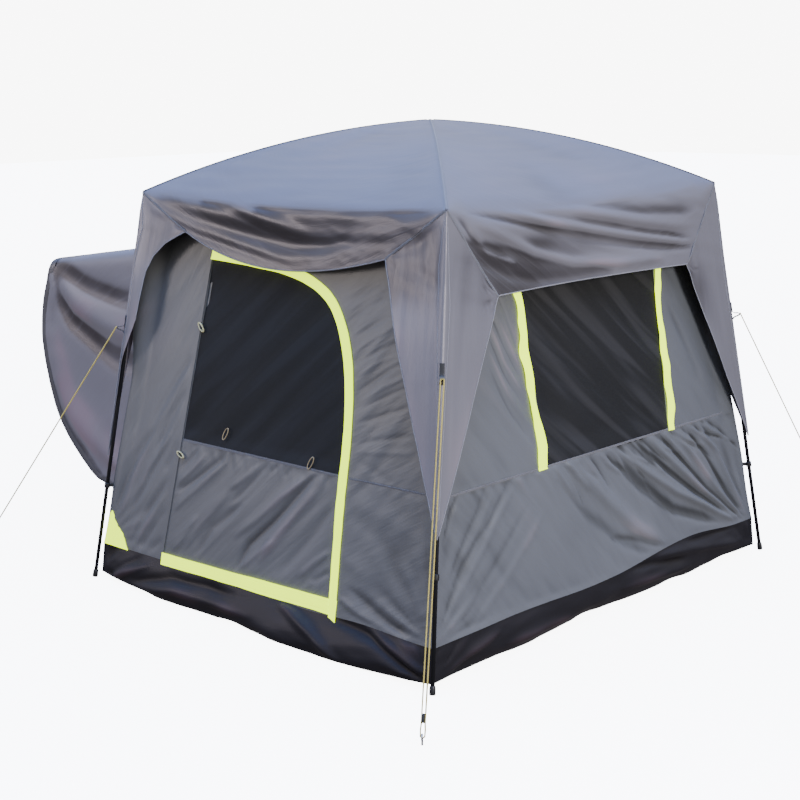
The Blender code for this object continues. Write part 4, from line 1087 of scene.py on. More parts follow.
def flap_panel():
    line = spaced(np.vstack([[(0.520, 0.150)], zip_line]), 240)
    way = np.gradient(line, axis=0)
    way /= np.linalg.norm(way, axis=1, keepdims=True)
    aside = np.stack([way[:, 1], -way[:, 0]], 1)
    share = np.linspace(-1, 1, 9)[None, :]
    run = np.arange(len(line))[:, None] / len(line) * 2.7
    ripple = 0.0022 * crumple(run * 7, share * 0.6, 130) * (1 - share) / 2
    wide = FLAP_HALF * (1 + 0.10 * crumple(run * 2.5, 0.5, 131) + 0.05 * crumple(run * 9, 0.2, 132))
    grid = line[:, None] + aside[:, None] * (share * wide)[..., None]
    grid[..., 0] = np.maximum(grid[..., 0], hinge_line(grid[..., 1]) - 0.002)
    grid[..., 1] += np.clip(1 - run / 0.12, 0, 1) * (0.008 - share * 0.010)
    out = 0.0042 + np.abs(ripple) + 0.002 * ease(0.4, 1.0, -share)
    relief = wall_relief("door", grid[..., 0], np.maximum(grid[..., 1], 0.176))
    points = on_side("door", grid[..., 0], grid[..., 1], wall_half, relief + out)
    panel = Panel(points, (0, -1, 0), ripple)
    panel.weave = np.stack([share * wide + 0 * run, run + 0 * share], -1)
    return panel


def foot_band():
    share = np.linspace(0, 1, 96)[:, None]
    level = np.linspace(0, 1, 9)[None, :]
    across = HINGE_LOW[0] - 0.004 + (0.540 - HINGE_LOW[0]) * share
    low = 0.159 + 0.018 * share + 0.002 * crumple(across * 7, 0.4, 133)
    high = 0.212 + 0.030 * share + 0.002 * crumple(across * 5, 0.6, 134)
    height = low + (high - low) * level
    out = 0.0030 + 0.0015 * np.abs(crumple(across * 12, level, 135))
    points = on_side("door", across + 0 * level, height, wall_half,
                     wall_relief("door", across + 0 * level, np.maximum(height, 0.175)) + out)
    panel = Panel(points, (0, -1, 0))
    panel.weave = np.stack([(level - 0.5) * (high - low), across - across[0] + 0 * level], -1)
    return panel


flap = sew("door_zip_tape", [flap_panel(), foot_band()], bright_tape, 0.0012, 0.00005)
declare(flap, nodes=["door_zip_flap"])

for count, (across, height, tilt) in enumerate(((-0.547, 1.27, -52), (-0.585, 0.679, -24)), 1):
    middle = Vector(on_side("door", np.array(across), np.array(height), wall_half, 0.006).tolist())
    bpy.ops.object.select_all(action="DESELECT")
    bpy.ops.mesh.primitive_torus_add(major_segments=32, minor_segments=12, major_radius=0.0175, minor_radius=0.0040)
    toggle = bpy.context.object
    toggle.scale = (1.30, 0.62, 0.9)
    bpy.ops.object.transform_apply()
    toggle.rotation_euler = Euler((math.radians(90), math.radians(-tilt), 0))
    toggle.location = middle
    bpy.ops.object.transform_apply()
    bpy.ops.object.shade_smooth_by_angle(angle=math.radians(60))
    toggle.data.materials.append(cream_plastic)
    core = turned("core", middle + Vector((0, 0.004, 0)), (0, -1, 0.05), [
        (0.0, 0.005), (0.002, 0.0075), (0.004, 0.0075), (0.0055, 0.006)], black_plastic, 20)
    made = join([toggle, core], f"door_toggle_{count}")
    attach(made, "door")


# Window and back walls
# Each is grey coated cloth with a wide netted window. The lower cloth is sewn on under the
# window and pulled to the tub's corners, so long folds cross it.
WINDOW_LOW = 0.738
WINDOW_TOP = 1.60
WINDOW_LEFT = (-0.39, -0.46)
WINDOW_RIGHT = (0.55, 0.553)
STRAP_WIDTHS = {"left": 0.062, "right": 0.050}
WINDOW_SIDES = {"window": 1, "back": -1}
WALL_GRIDS = {"window": (58, 58, 84), "back": (44, 44, 64)}


def window_edge(side, right_edge, height):
    """Place across a wall of its window's left or right edge at a height."""
    pair = WINDOW_RIGHT if right_edge == (WINDOW_SIDES[side] > 0) else WINDOW_LEFT
    low, high = (WINDOW_SIDES[side] * part for part in pair)
    return low + (high - low) * (height - WINDOW_LOW) / (WINDOW_TOP - WINDOW_LOW)


def blocks(*spans):
    """Shares from 0 to 1 in blocks of (end, steps), without doubling the ends."""
    start, made = 0.0, [np.zeros(1)]
    for end, steps in spans:
        made.append(np.linspace(start, end, steps + 1)[1:])
        start = end
    return np.concatenate(made)


def holed_wall(side, edge_of, low, high, lean, foot_rows, edge_steps, middle_steps):
    """A wall's grid with a hole whose edges follow edge_of between two heights."""
    rows = [np.linspace(0, low, foot_rows), np.linspace(low, high, 50)[1:], np.linspace(high, WALL_TOP, 12)[1:]]
    level = np.concatenate(rows)[:, None]
    share = blocks((1, edge_steps), (2, middle_steps), (3, edge_steps))[None, :]
    half = side_half(side, np.maximum(level, TUB_TOP), wall_half)
    clamped = np.clip(level, low, high)
    left, right = edge_of(False, clamped), edge_of(True, clamped)
    across = np.where(share <= 1, -half + (left + half) * share,
                      np.where(share <= 2, left + (right - left) * (share - 1), right + (half - right) * (share - 2)))
    foot = seam_height(side, across)
    height = np.where(level < low, foot + (low - foot) * level / low, level + 0 * across)
    across = across * np.where(level < low, side_half(side, height, wall_half) / half, 1.0)
    hole = np.zeros((len(level) - 1, share.shape[1] - 1), bool)
    hole[foot_rows - 1:foot_rows + 48, edge_steps:edge_steps + middle_steps] = True
    return wall_panel(side, across, height, lean, hole)


def screen_panel(side):
    share = np.linspace(-0.008, 1.008, 72)[None, :]
    level = np.linspace(WINDOW_LOW - 0.006, WINDOW_TOP + 0.006, 66)[:, None]
    left, right = window_edge(side, False, level), window_edge(side, True, level)
    across = left + (right - left) * share
    edge = ease(0, 0.1, share) * ease(0, 0.1, 1 - share) * ease(0, 0.1, level - WINDOW_LOW) * ease(0, 0.1, WINDOW_TOP - level)
    sag = edge * 0.008 * (drawn_folds(across, level, -40 * WINDOW_SIDES[side], 1.1, 0.085, 140) - 0.9)
    points = on_side(side, across, level, wall_half, -0.0028 + sag)
    return Panel(points, (*SIDES[side][1], 0.0), sag).along(-40 * WINDOW_SIDES[side])


def strap_panel(side, right_edge, width):
    level = np.linspace(WINDOW_LOW - 0.004, WINDOW_TOP + 0.01, 110)[:, None]
    share = np.linspace(0, 1, 9)[None, :]
    step = 1 if right_edge else -1
    seed = 150 + list(SIDES).index(side) * 2 + int(right_edge)
    slack = ease(0, 0.10, level - WINDOW_LOW) * ease(0, 0.08, WINDOW_TOP - level)
    wide = width * (0.94 + slack * (0.30 * crumple(level * 5.2, 0.5, seed) + 0.10 * crumple(level * 13, 0.3, seed)))
    sway = slack * (0.020 * crumple(level * 4.1, 0.2, seed + 4) + 0.008 * crumple(level * 9, 0.7, seed + 5))
    across = window_edge(side, right_edge, level) + step * (0.002 + wide * share) + sway
    ripple = slack * 0.009 * crumple(level * 6.5, share * 0.9 + 0.3, seed)
    out = 0.0036 + np.abs(ripple)
    points = on_side(side, across, level, wall_half, wall_relief(side, across, level) + out)
    panel = Panel(points, (*SIDES[side][1], 0.0), ripple)
    panel.weave = np.stack([(share - 0.5) * wide, level + 0 * share], -1)
    return panel


window_net = net("window_net", (0.032, 0.031, 0.033, 1))

for side in WINDOW_SIDES:
    def edge_of(right_edge, height, side=side):
        return window_edge(side, right_edge, height)

    wall = sew(side + "_wall_cloth", [holed_wall(side, edge_of, WINDOW_LOW, WINDOW_TOP, -46 * WINDOW_SIDES[side], *WALL_GRIDS[side])], wall_cloth)
    declare(wall, area=2.75, nodes=[side + "_wall"])
    screen = sew(side + "_net", [screen_panel(side)], window_net)
    declare(screen, nodes=[side + "_screen"])
    for right_edge, word in ((False, "left"), (True, "right")):
        strap = sew(f"{side}_strap_tape_{word}", [strap_panel(side, right_edge, STRAP_WIDTHS[word])], bright_tape, 0.0012, 0.00005)
        declare(strap, nodes=[f"{side}_strap_{word}"])
    run = np.linspace(-side_half(side, WINDOW_LOW, wall_half) + 0.01, side_half(side, WINDOW_LOW, wall_half) - 0.01, 180)
    level = np.full_like(run, WINDOW_LOW + 0.004)
    seam = ribbon(side + "_wall_seam", on_side(side, run, level, wall_half, wall_relief(side, run, level) + 0.0016),
                  (0, 0, 1), 0.011, grey_seam, (*SIDES[side][1], 0))
    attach(seam, "root")


# Car wall and sleeve
# The side towards the car is open, and a wide sleeve of the same cloth is sewn round the
# opening. Elastic in its hem gathers it round the car's tailgate, so pleats fan from its corners.
CAR_SILL = 0.30
CAR_TOP = 1.62
CAR_HALF = (0.95, 0.86)
SLEEVE_HALF = 0.95
SLEEVE_HEM = [(-1.13, 0.30), (-1.41, 0.36), (-1.55, 0.41), (-1.80, 0.64), (-1.91, 0.96), (-1.91, 1.21), (-1.81, 1.50)]
SLEEVE_CORNER = 0.12


def opening_half(height):
    return CAR_HALF[0] + (CAR_HALF[1] - CAR_HALF[0]) * (height - CAR_SILL) / (CAR_TOP - CAR_SILL)


def car_edge(right_edge, height):
    return opening_half(height) if right_edge else -opening_half(height)


car_wall = sew("car_wall_cloth", [holed_wall("car", car_edge, CAR_SILL, CAR_TOP, 80, 12, 20, 60)], wall_cloth)
declare(car_wall, area=1.3, nodes=["car_wall"])


def sleeve_panel():
    """Rows run round the opening, from the near foot over the top to the far foot."""
    hem = smooth_line(SLEEVE_HEM, 8)
    rise = np.linspace(0, 1, 92)
    hem_x = np.interp(rise, np.linspace(0, 1, len(hem)), hem[:, 0])
    hem_z = np.interp(rise, np.linspace(0, 1, len(hem)), hem[:, 1])
    level = CAR_SILL + (CAR_TOP - CAR_SILL) * rise
    half = opening_half(level)
    hem_half = SLEEVE_HALF + (CAR_HALF[0] - SLEEVE_HALF) * (1 - rise)
    base_x = -wall_half(0, level) - 0.0006
    near_base = np.stack([base_x, -half, level], 1)
    near_hem = np.stack([hem_x, -hem_half, hem_z], 1)
    swap = np.array((1, -1, 1))
    sweep = np.linspace(-1, 1, 122)[1:-1]
    top_base = np.stack([np.full_like(sweep, base_x[-1]), CAR_HALF[1] * sweep, np.full_like(sweep, CAR_TOP)], 1)
    top_hem = np.stack([np.full_like(sweep, hem_x[-1]), SLEEVE_HALF * sweep, np.full_like(sweep, hem_z[-1])], 1)
    base = drawn_to_legs(np.vstack([near_base, top_base, near_base[::-1] * swap]))
    edge = np.vstack([near_hem, top_hem, near_hem[::-1] * swap])
    reach = np.linspace(0, 1, 44)[None, :, None]
    points = base[:, None] * (1 - reach) + edge[:, None] * reach
    for _ in range(12):
        points[1:-1, 1:] += 0.5 * ((points[:-2, 1:] + points[2:, 1:]) / 2 - points[1:-1, 1:])
    round_share = np.concatenate([rise, 1 + (sweep + 1) / 2, 2 + rise])[:, None]
    along = reach[0, :, 0][None, :]
    mirrored = np.where(round_share > 1.5, 3 - round_share, round_share)
    far = np.where(round_share > 1.5, 7.0, 0.0)
    relief = 0.008 * crumple(mirrored * 1.8 + far, along * 1.2, 160)
    relief = relief + 0.0015 * crumple((mirrored - along * 0.25) * 9 + far, along * 1.5, 161)
    for line, width, depth in SLEEVE_FOLDS:
        relief = relief + crease(mirrored + 0 * along, along + 0 * mirrored, line, width, depth)
    hem_pleats = 0.003 * crumple(mirrored * 22 + far, 0.5 + along * 0.6, 162) * ease(0.72, 1.0, along)
    relief = (relief + hem_pleats) * ease(0, 0.08, along)
    # Painted shade and highlights 2.2 times as deep as the folds are raised. Near the hem a band is painted darker as
    # shade where the cloth turns in.
    panel = Panel(points, (0, 0, 1)).raised(relief * 0.5, 2.2).along(10)
    shaded_hem = ease(0.84, 0.92, along) * (1 - ease(0.72, 0.98, mirrored))
    panel.relief = panel.relief - 0.014 * shaded_hem
    return panel


SLEEVE_FOLDS = (
    (((0.99, 0.98), (0.90, 0.66), (0.82, 0.30), (0.79, 0.08)), 0.036, -0.026),
    (((0.97, 0.96), (0.78, 0.74), (0.62, 0.40), (0.55, 0.10)), 0.040, -0.030),
    (((0.94, 0.97), (0.84, 0.70), (0.72, 0.34), (0.68, 0.12)), 0.050, 0.022),
    (((0.88, 0.99), (0.50, 0.86), (0.26, 0.62), (0.12, 0.26)), 0.090, 0.022),
    (((1.02, 0.98), (1.10, 0.60), (1.14, 0.20)), 0.050, -0.014),
    (((1.06, 0.98), (1.24, 0.55), (1.30, 0.15)), 0.060, 0.012),
)
# Painted light: the sleeve is the walls' cloth, coloured paler to stand in for more light on it.
lit_sleeve_paint = coated_cloth("sleeve_cloth", (0.172, 0.166, 0.186, 1), (0.036, 0.032, 0.036, 1),
                            (0.230, 0.175, 0.205, 1), 0.42, 0.2, 0.08)
hem_paint = coated_cloth("sleeve_hem_cloth", (0.060, 0.062, 0.068, 1), (0.030, 0.030, 0.033, 1),
                         (0.090, 0.085, 0.090, 1), 0.42, 0.3, 0.05)

sleeve_grid = sleeve_panel()
hem_way = sleeve_grid.points[:, -1] - sleeve_grid.points[:, -4]
hem_way /= np.linalg.norm(hem_way, axis=1, keepdims=True)
hem_face = sleeve_grid.normals()[:, -2]
sleeve = join([sew("sleeve", [sleeve_grid], lit_sleeve_paint),
               ribbon("sleeve_hem", sleeve_grid.points[:, -1] - hem_way * 0.020 + hem_face * 0.0012, hem_way, 0.042,
                      hem_paint, hem_face, crown=0.0015)], "sleeve_cloth")
declare(sleeve, area=3.6,
        nodes=["sleeve_top", "sleeve_near_side", "sleeve_far_side"])


# Ceiling
# The inner tent closes over in four light gores that hang under the roof poles.
CEILING_PEAK = 2.115
CEILING_BOW = 1.3


def gore(side, half, height_at, drop, rows, columns, reach=1.0):
    """One roof gore from the peak to its eave, as a grid of points."""
    share = (np.linspace(0, 1, rows) ** 0.9)[:, None] * reach
    turn = np.linspace(-1, 1, columns)[None, :]
    along, outward = SIDES[side]
    wide = half(1 if outward[0] else 0) * turn * share
    out = half(0 if outward[0] else 1) * share + 0 * turn
    height = height_at(share) - drop * share * (1 - turn ** 2)
    return np.stack(np.broadcast_arrays(along[0] * wide + outward[0] * out, along[1] * wide + outward[1] * out, height), -1)


def ceiling_half(axis):
    return wall_half(axis, WALL_TOP)


def ceiling_height(share):
    return WALL_TOP + (CEILING_PEAK - WALL_TOP) * (1 - share ** CEILING_BOW)


def ceiling_panel(side):
    points = gore(side, ceiling_half, ceiling_height, 0.0, 24, 36)
    turn = np.linspace(-1, 1, 36)[None, :]
    share = np.linspace(0, 1, 24)[:, None]
    slack = 0.004 * (crumple(turn * 4, share * 3, 170 + list(SIDES).index(side)) - 0.6)
    return Panel(points, (0, 0, 1)).raised(slack * (1 - turn ** 2) * ease(0, 0.1, share) * ease(0, 0.1, 1 - share))


ceiling = sew("ceiling_cloth", [ceiling_panel(side) for side in SIDES], wall_cloth)
declare(ceiling, nodes=["inner_ceiling"])


# Fly
# One wide sheet goes over the roof poles: four gores that turn over the eaves into hanging
# valances, all sewn together. Bluish, smooth and taut on top, creased and swagged at its edge.
SKIN = 0.003
PEAK_HEIGHT = 2.198
RIB_SLOPE = 0.0567
RIB_BOW = 0.1316
EAVE_SAG = 0.03
TIP_HEIGHT = 0.61
CORNER_DROP = 0.001
NOTCHES = {"door": (0.636, 1.687), "window": (0.70, 1.512), "back": (0.70, 1.512), "car": (0.885, 1.66)}
NOTCH_TILT = {"door": 0.021}
VALANCE_MIDDLES = {"door": 1.579, "window": 1.52, "back": 1.52, "car": 1.67}
VALANCE_ROLL = {"door": (-0.004, 0.046, 0.10, 0.70), "window": (0.006, 0.010, -0.45, 0.45), "back": (0.006, 0.012, 0.1, 0.5),
                "car": (0.005, 0.012, 0.0, 0.6)}
FLY_FOLDS = {
    "door": (
        (((-0.30, 1.872), (-0.089, 1.837), (0.160, 1.792), (0.393, 1.780), (0.662, 1.817), (0.90, 1.865)), 0.040, -0.026),
        (((-0.87, 1.85), (-0.608, 1.779), (-0.333, 1.742), (-0.123, 1.711), (0.054, 1.681), (0.241, 1.700), (0.42, 1.741)),
         0.030, -0.024),
        (((-0.36, 1.872), (-0.084, 1.790), (0.094, 1.742), (0.30, 1.742), (0.50, 1.775)), 0.026, 0.022),
        (((-0.578, 1.862), (-0.370, 1.824), (-0.20, 1.785)), 0.016, -0.010),
        (((-0.88, 1.80), (-0.60, 1.735), (-0.30, 1.690), (-0.02, 1.640), (0.22, 1.650), (0.50, 1.705)), 0.022, 0.013),
        (((0.30, 1.615), (0.520, 1.655), (0.63, 1.69)), 0.014, -0.010),
        (((0.16, 1.60), (0.334, 1.625), (0.46, 1.66)), 0.014, 0.008),
        (((0.42, 1.745), (0.60, 1.765), (0.86, 1.845)), 0.022, 0.014),
        (((-0.80, 1.78), (-0.56, 1.700), (-0.30, 1.655), (-0.05, 1.61)), 0.016, -0.010),
        (((0.901, 1.806), (0.810, 1.727), (0.66, 1.69)), 0.022, -0.012),
    ),
    "window": (
        (((-0.86, 1.865), (-0.554, 1.801), (-0.303, 1.746), (-0.035, 1.693), (0.250, 1.644), (0.557, 1.606), (0.73, 1.592)),
         0.020, -0.018),
        (((-0.50, 1.848), (-0.164, 1.789), (0.112, 1.740), (0.407, 1.683), (0.74, 1.636)), 0.018, -0.013),
        (((-0.62, 1.845), (-0.300, 1.772), (0.20, 1.690), (0.74, 1.612)), 0.016, 0.015),
        (((-0.920, 1.850), (-0.804, 1.735), (-0.631, 1.667)), 0.016, -0.014),
        (((-0.86, 1.80), (-0.75, 1.70), (-0.548, 1.628)), 0.014, 0.011),
        (((-0.88, 1.76), (-0.754, 1.647), (-0.615, 1.588), (-0.429, 1.545), (-0.190, 1.538), (0.10, 1.54)), 0.026, -0.020),
        (((-0.80, 1.81), (-0.442, 1.666), (-0.183, 1.603), (0.12, 1.570), (0.50, 1.56)), 0.024, 0.018),
        (((-0.10, 1.85), (0.340, 1.787), (0.78, 1.761)), 0.030, -0.010),
        (((-0.16, 1.82), (0.25, 1.752), (0.74, 1.69)), 0.024, 0.012),
    ),
    "back": (
        (((0.86, 1.865), (0.50, 1.79), (0.10, 1.71), (-0.30, 1.65), (-0.70, 1.60)), 0.022, -0.018),
        (((0.80, 1.80), (0.42, 1.70), (0.00, 1.62), (-0.40, 1.57)), 0.024, 0.016),
        (((-0.88, 1.82), (-0.64, 1.70), (-0.30, 1.64), (0.10, 1.60)), 0.026, -0.016),
        (((0.40, 1.84), (0.00, 1.77), (-0.50, 1.73)), 0.026, -0.011),
    ),
    "car": (
        (((-0.86, 1.86), (-0.40, 1.80), (0.10, 1.76), (0.60, 1.79)), 0.026, -0.016),
        (((-0.70, 1.80), (-0.20, 1.74), (0.40, 1.73), (0.80, 1.80)), 0.022, 0.013),
    ),
}

fly_cloth = coated_cloth("fly_cloth", (0.134, 0.130, 0.147, 1), (0.030, 0.028, 0.031, 1),
                         (0.230, 0.180, 0.200, 1), 0.37, 0.4, 0.08)


def fly_half(axis, height):
    """Half span of the fly, which lies on the outside of the legs."""
    return leg_half(axis, height) + 0.0098 * math.hypot(1, LEAN[axis])


def rib_height(radius):
    return PEAK_HEIGHT - SKIN - RIB_SLOPE * radius - RIB_BOW * radius ** 2


EAVE_LEVEL = rib_height(math.hypot(*EAVE))
ROOF_RADIUS = math.hypot(fly_half(0, EAVE_LEVEL), fly_half(1, EAVE_LEVEL))


def roof_height(share):
    """Height of the fly over a rib, from 0 at the middle to 1 at the eave's corner."""
    return rib_height(ROOF_RADIUS * share) + (EAVE_LEVEL - rib_height(ROOF_RADIUS)) * share + SKIN


def roof_half(axis):
    return fly_half(axis, EAVE_LEVEL) + SKIN


def valance_foot(side, turn):
    """Height of a valance's free edge, from -1 at one corner to 1 at the other."""
    middle = VALANCE_MIDDLES[side]
    return middle + (NOTCHES[side][1] - NOTCH_TILT.get(side, 0.0) * turn - middle) * turn ** 2


def fly_relief(side, across, height):
    """Folds of the fly's hanging edge, valance and corner pieces alike."""
    seed = 180 + 10 * list(SIDES).index(side)
    folds = 0.0016 * drawn_folds(across, height, -14, 0.45, 0.05, seed)
    folds = folds + 0.0005 * drawn_folds(across, height, -22, 0.3, 0.024, seed + 1)
    broad, deep = (1.5, 0.34) if side == "door" else (1.1, 0.62)
    for line, width, depth in FLY_FOLDS[side]:
        folds = folds + crease(across, height, line, width * broad, depth * deep, tail=0.15)
    half = side_half(side, np.minimum(height, EAVE_LEVEL), fly_half)
    foot = VALANCE_MIDDLES[side] + (NOTCHES[side][1] - VALANCE_MIDDLES[side]) * (across / half) ** 2
    drop = np.clip((EAVE_LEVEL - height) / (EAVE_LEVEL - foot), 0, 1.2)
    bulge, tuck, centre, spread = VALANCE_ROLL[side]
    roll = bulge * np.exp(-((drop - 0.22) / 0.16) ** 2) - tuck * ease(0.10, 0.62, drop)
    folds = folds + roll * np.exp(-((across / half - centre) / spread) ** 2)
    return folds * ease(0.0, 0.07, half - abs(across) + 0.01) * ease(0.0, 0.015, EAVE_LEVEL + 0.01 - height)


def fly_panel(side):
    columns, roof_rows, drop_rows = 116, 70, 28
    turn = np.linspace(-1, 1, columns)[None, :]
    roof = gore(side, roof_half, roof_height, EAVE_SAG, roof_rows, columns)
    share = np.linspace(0, 1, drop_rows + 1)[1:, None]
    eave_across = turn * side_half(side, EAVE_LEVEL, fly_half)
    eave_height = EAVE_LEVEL + SKIN - EAVE_SAG * (1 - turn ** 2)
    across = eave_across + (turn * NOTCHES[side][0] - eave_across) * share
    height = eave_height + (valance_foot(side, turn) - eave_height) * share
    hang = on_side(side, across, height, fly_half, SKIN)
    points = np.vstack([roof, hang])
    soften = np.zeros((len(points), columns, 1))
    distance = np.abs(np.arange(len(points)) - (roof_rows - 1))
    soften[..., 0] = (np.clip(1 - distance / 12, 0, 1)[:, None]) * ease(0.0, 0.12, 1 - abs(turn))
    for _ in range(40):
        points[1:-1] += 0.5 * soften[1:-1] * ((points[:-2] + points[2:]) / 2 - points[1:-1])
    outward = np.array((*SIDES[side][1], 0.35))
    panel = Panel(points, outward)
    panel.outward = outward
    roof_share = np.linspace(0, 1, roof_rows)[:, None]
    ripples = 0.0022 * crumple(turn * roof_share * 3.2, roof_share * 16, 230 + list(SIDES).index(side))
    ripples = ripples + 0.004 * crumple(turn * 2.2, roof_share * 2.4, 240 + list(SIDES).index(side))
    ripples = ripples * ease(0, 0.16, 1 - abs(turn)) * ease(0.05, 0.3, roof_share)
    relief = np.vstack([ripples, fly_relief(side, across, height)])
    # The hanging edge's folds get painted shade and highlights 2.6 times (door) or 1.7 times as deep as their relief.
    shade = np.where(np.arange(len(relief)) < roof_rows, 1.0, 2.6 if side == "door" else 1.7)[:, None]
    return panel.raised(relief, shade).along(-10)


fly = sew("fly_canopy", [fly_panel(side) for side in SIDES], fly_cloth, 0.0014, 0.0004, 80)


# Corner pieces
# A kite of the fly's cloth folds round each leg, sewn to the valances above and tapering down
# to a point that is tied to the leg. Its free edges are bound and hang a little loose.
FOLDED_BACK = [(0.636, 1.708), (0.77, 1.648), (0.85, 1.583), (0.892, 1.51), (0.908, 1.40), (0.926, 1.28),
               (0.972, 1.17), (1.020, 1.06)]
KITE_SWING = {"front": 0.004, "right": 0.006, "rear": 0.006, "left": 0.010}
KITE_TUCK = {"front": 0.0, "right": 0.010, "rear": 0.010, "left": 0.0}
KITE_CUTS = {"front": (0.72, 0.43), "right": (0.68, 0.40), "rear": (0.50, 0.27), "left": (0.42, 0.175)}
CORNER_SIDES = {"front": ("door", "window"), "right": ("window", "back"), "rear": ("back", "car"), "left": ("car", "door")}


def free_edge(corner, side):
    """The outline of one wing from the eave's corner to its tip, as place across and height."""
    top = (side_half(side, EAVE_LEVEL, fly_half), EAVE_LEVEL - CORNER_DROP)
    tip = (side_half(side, TIP_HEIGHT, fly_half), TIP_HEIGHT)
    if (corner, side) == ("left", "door"):
        return np.array([top] + FOLDED_BACK + [tip])
    turn = 1 if CORNER_SIDES[corner][0] == side else -1
    return np.array([top, (NOTCHES[side][0], valance_foot(side, turn)), tip])


def wing_panel(corner, side):
    """One wing of a corner piece as a grid, from its free edge or seam to the leg."""
    outline = free_edge(corner, side)
    ahead_of = CORNER_SIDES[corner][0] == side
    sign = 1 if ahead_of else -1
    notch = outline[1, 1]
    level = np.concatenate([np.linspace(outline[0, 1], notch, 18),
                            np.linspace(notch, TIP_HEIGHT, 72)[1:]])[:, None]
    spine = side_half(side, level, fly_half)
    edge = np.minimum(np.interp(-level, -outline[:, 1], outline[:, 0]), spine - 0.002)
    share = (np.linspace(0, 1, 34) ** 1.35)[None, :]
    across = spine + (edge - spine) * share
    height = level + 0 * share
    seed = 260 + list(CORNERS).index(corner) * 3 + int(ahead_of)
    wide = spine - edge
    loose = ease(0.0, 0.5, notch + 0.03 - level) * share ** 1.4
    swing = KITE_SWING[corner] * np.sin((notch - level) * 3.4 + 0.4) * loose
    swing = swing + loose * (0.004 + 0.003 * crumple(level * 3.1, share * 0.7, seed))
    swing = swing - KITE_TUCK[corner] * share * ease(-0.1, 0.15, notch - level) * ease(0.0, 0.35, level - TIP_HEIGHT)
    tugs = 0.005 * crumple(share * wide * 9, level * 1.1, seed + 1) * ease(0.03, 0.12, share * wide)
    tugs = tugs + 0.0012 * crumple(share * wide * 24, level * 3.0, seed + 2) * ease(0.02, 0.06, share * wide)
    tugs = tugs + rays(across, height, (NOTCHES[side][0], notch), 9.0, 0.13, 0.005, seed + 5)
    relief = fly_relief(side, sign * across, height) * ease(0.0, 0.3, level - 1.35) + tugs + swing
    relief = relief * ease(0.0, 0.03, share * wide) * ease(0.0, 0.02, outline[0, 1] - level + 0.004)
    return sign * across, height, relief, on_side(side, sign * across, height, fly_half, SKIN + relief)


def kite_panel(corner):
    """Both wings of a corner piece, rounded where they fold over the leg."""
    first, second = (wing_panel(corner, side) for side in CORNER_SIDES[corner])
    points = np.hstack([first[3][:, ::-1], second[3][:, 1:]])
    relief = np.hstack([first[2][:, ::-1], second[2][:, 1:]])
    spine = first[3].shape[1] - 1
    near = np.clip(1 - np.abs(np.arange(points.shape[1]) - spine) / 8, 0, 1)[None, 1:-1, None]
    for _ in range(12):
        points[:, 1:-1] += 0.5 * near * ((points[:, :-2] + points[:, 2:]) / 2 - points[:, 1:-1])
    outward = np.array((*CORNERS[corner], 0.0)) / math.sqrt(2)
    points[:, 1:-1] += 0.0045 * near ** 0.5 * ease(0.0, 0.10, points[0, spine, 2] - points[:, spine, 2])[:, None, None] * outward
    panel = Panel(points, outward, relief)
    run = panel.weave[..., 0]
    run = run - run[:, spine:spine + 1]
    panel.weave = np.stack([run, 2 - points[..., 2]], -1)
    panel.pull = np.stack([2 - points[..., 2], run], -1)
    return panel


# Seams and bindings of the fly
# Flat-felled seams lie over the ribs and down the edges of the corner pieces, a thin binding
# finishes every free edge, and two lines of stitches hold each corner piece over its leg.
pale_binding = trim_cloth("pale_binding", (0.20, 0.195, 0.225, 1), (0.14, 0.135, 0.155, 1), (0.36, 0.35, 0.38, 1), 0.001)
rib_seam = trim_cloth("rib_seam", (0.128, 0.125, 0.142, 1), (0.10, 0.098, 0.112, 1), (0.17, 0.168, 0.19, 1), 0.005, 0.38)


def edging(name, edge_points, outward, width, paint, thickness=0.0012, crown=0.001):
    """A narrow strip sewn along an edge or a seam."""
    way = np.gradient(edge_points, axis=0)
    way /= np.maximum(np.linalg.norm(way, axis=1, keepdims=True), 1e-9)
    return ribbon(name, edge_points, np.cross(way, outward), width, paint, outward, thickness, crown=crown)


trims = []
for corner, (sign_x, sign_y) in CORNERS.items():
    share = np.linspace(0.012, 0.998, 90)
    path = np.stack([sign_x * roof_half(0) * share, sign_y * roof_half(1) * share, roof_height(share) + 0.0006], 1)
    side_way = np.array((-sign_y * roof_half(1), sign_x * roof_half(0), 0.0))
    side_way /= np.linalg.norm(side_way)
    trims.append(ribbon("rib_seam_" + corner, path, side_way, 0.013, rib_seam, (0, 0, 1), crown=0.0016, columns=7))
for side in SIDES:
    outward = np.array((*SIDES[side][1], 0.0))
    trims.append(edging(side + "_binding", fly_panel(side).points[-1] + outward * 0.0006 + np.array((0, 0, 0.002)),
                        outward, 0.0055, pale_binding))
fly = join([fly] + trims, "fly_canopy")
declare(fly, area=6.1,
        nodes=["fly_roof"] + [side + "_valance" for side in SIDES])

for corner, sides in CORNER_SIDES.items():
    panel = kite_panel(corner)
    strips = [sew("kite", [panel], fly_cloth, 0.0014, 0.0004, 80)]
    spine = panel.points.shape[1] // 2
    normals = panel.normals()
    for side, column, step in ((sides[0], 0, -1), (sides[1], -1, 1)):
        outward = np.array((*SIDES[side][1], 0.0))
        strips.append(edging("seam", panel.points[:18, column] + outward * 0.0012, outward, 0.011, grey_seam))
        foot = -1 if (corner, side) != ("left", "door") else 46
        strips.append(edging("binding", panel.points[17:foot, column] + outward * 0.0006, outward, 0.0055, pale_binding))
        stitched = spine + step * 6
        strips.append(edging("stitching", panel.points[3:-6, stitched] + normals[3:-6, stitched] * 0.0008, outward,
                             0.0035, pale_binding, 0.0008, 0.0004))
    piece = join(strips, "leg_kite_" + corner)
    width, area = KITE_CUTS[corner]
    declare(piece, area=area, nodes=["leg_panel_" + corner])


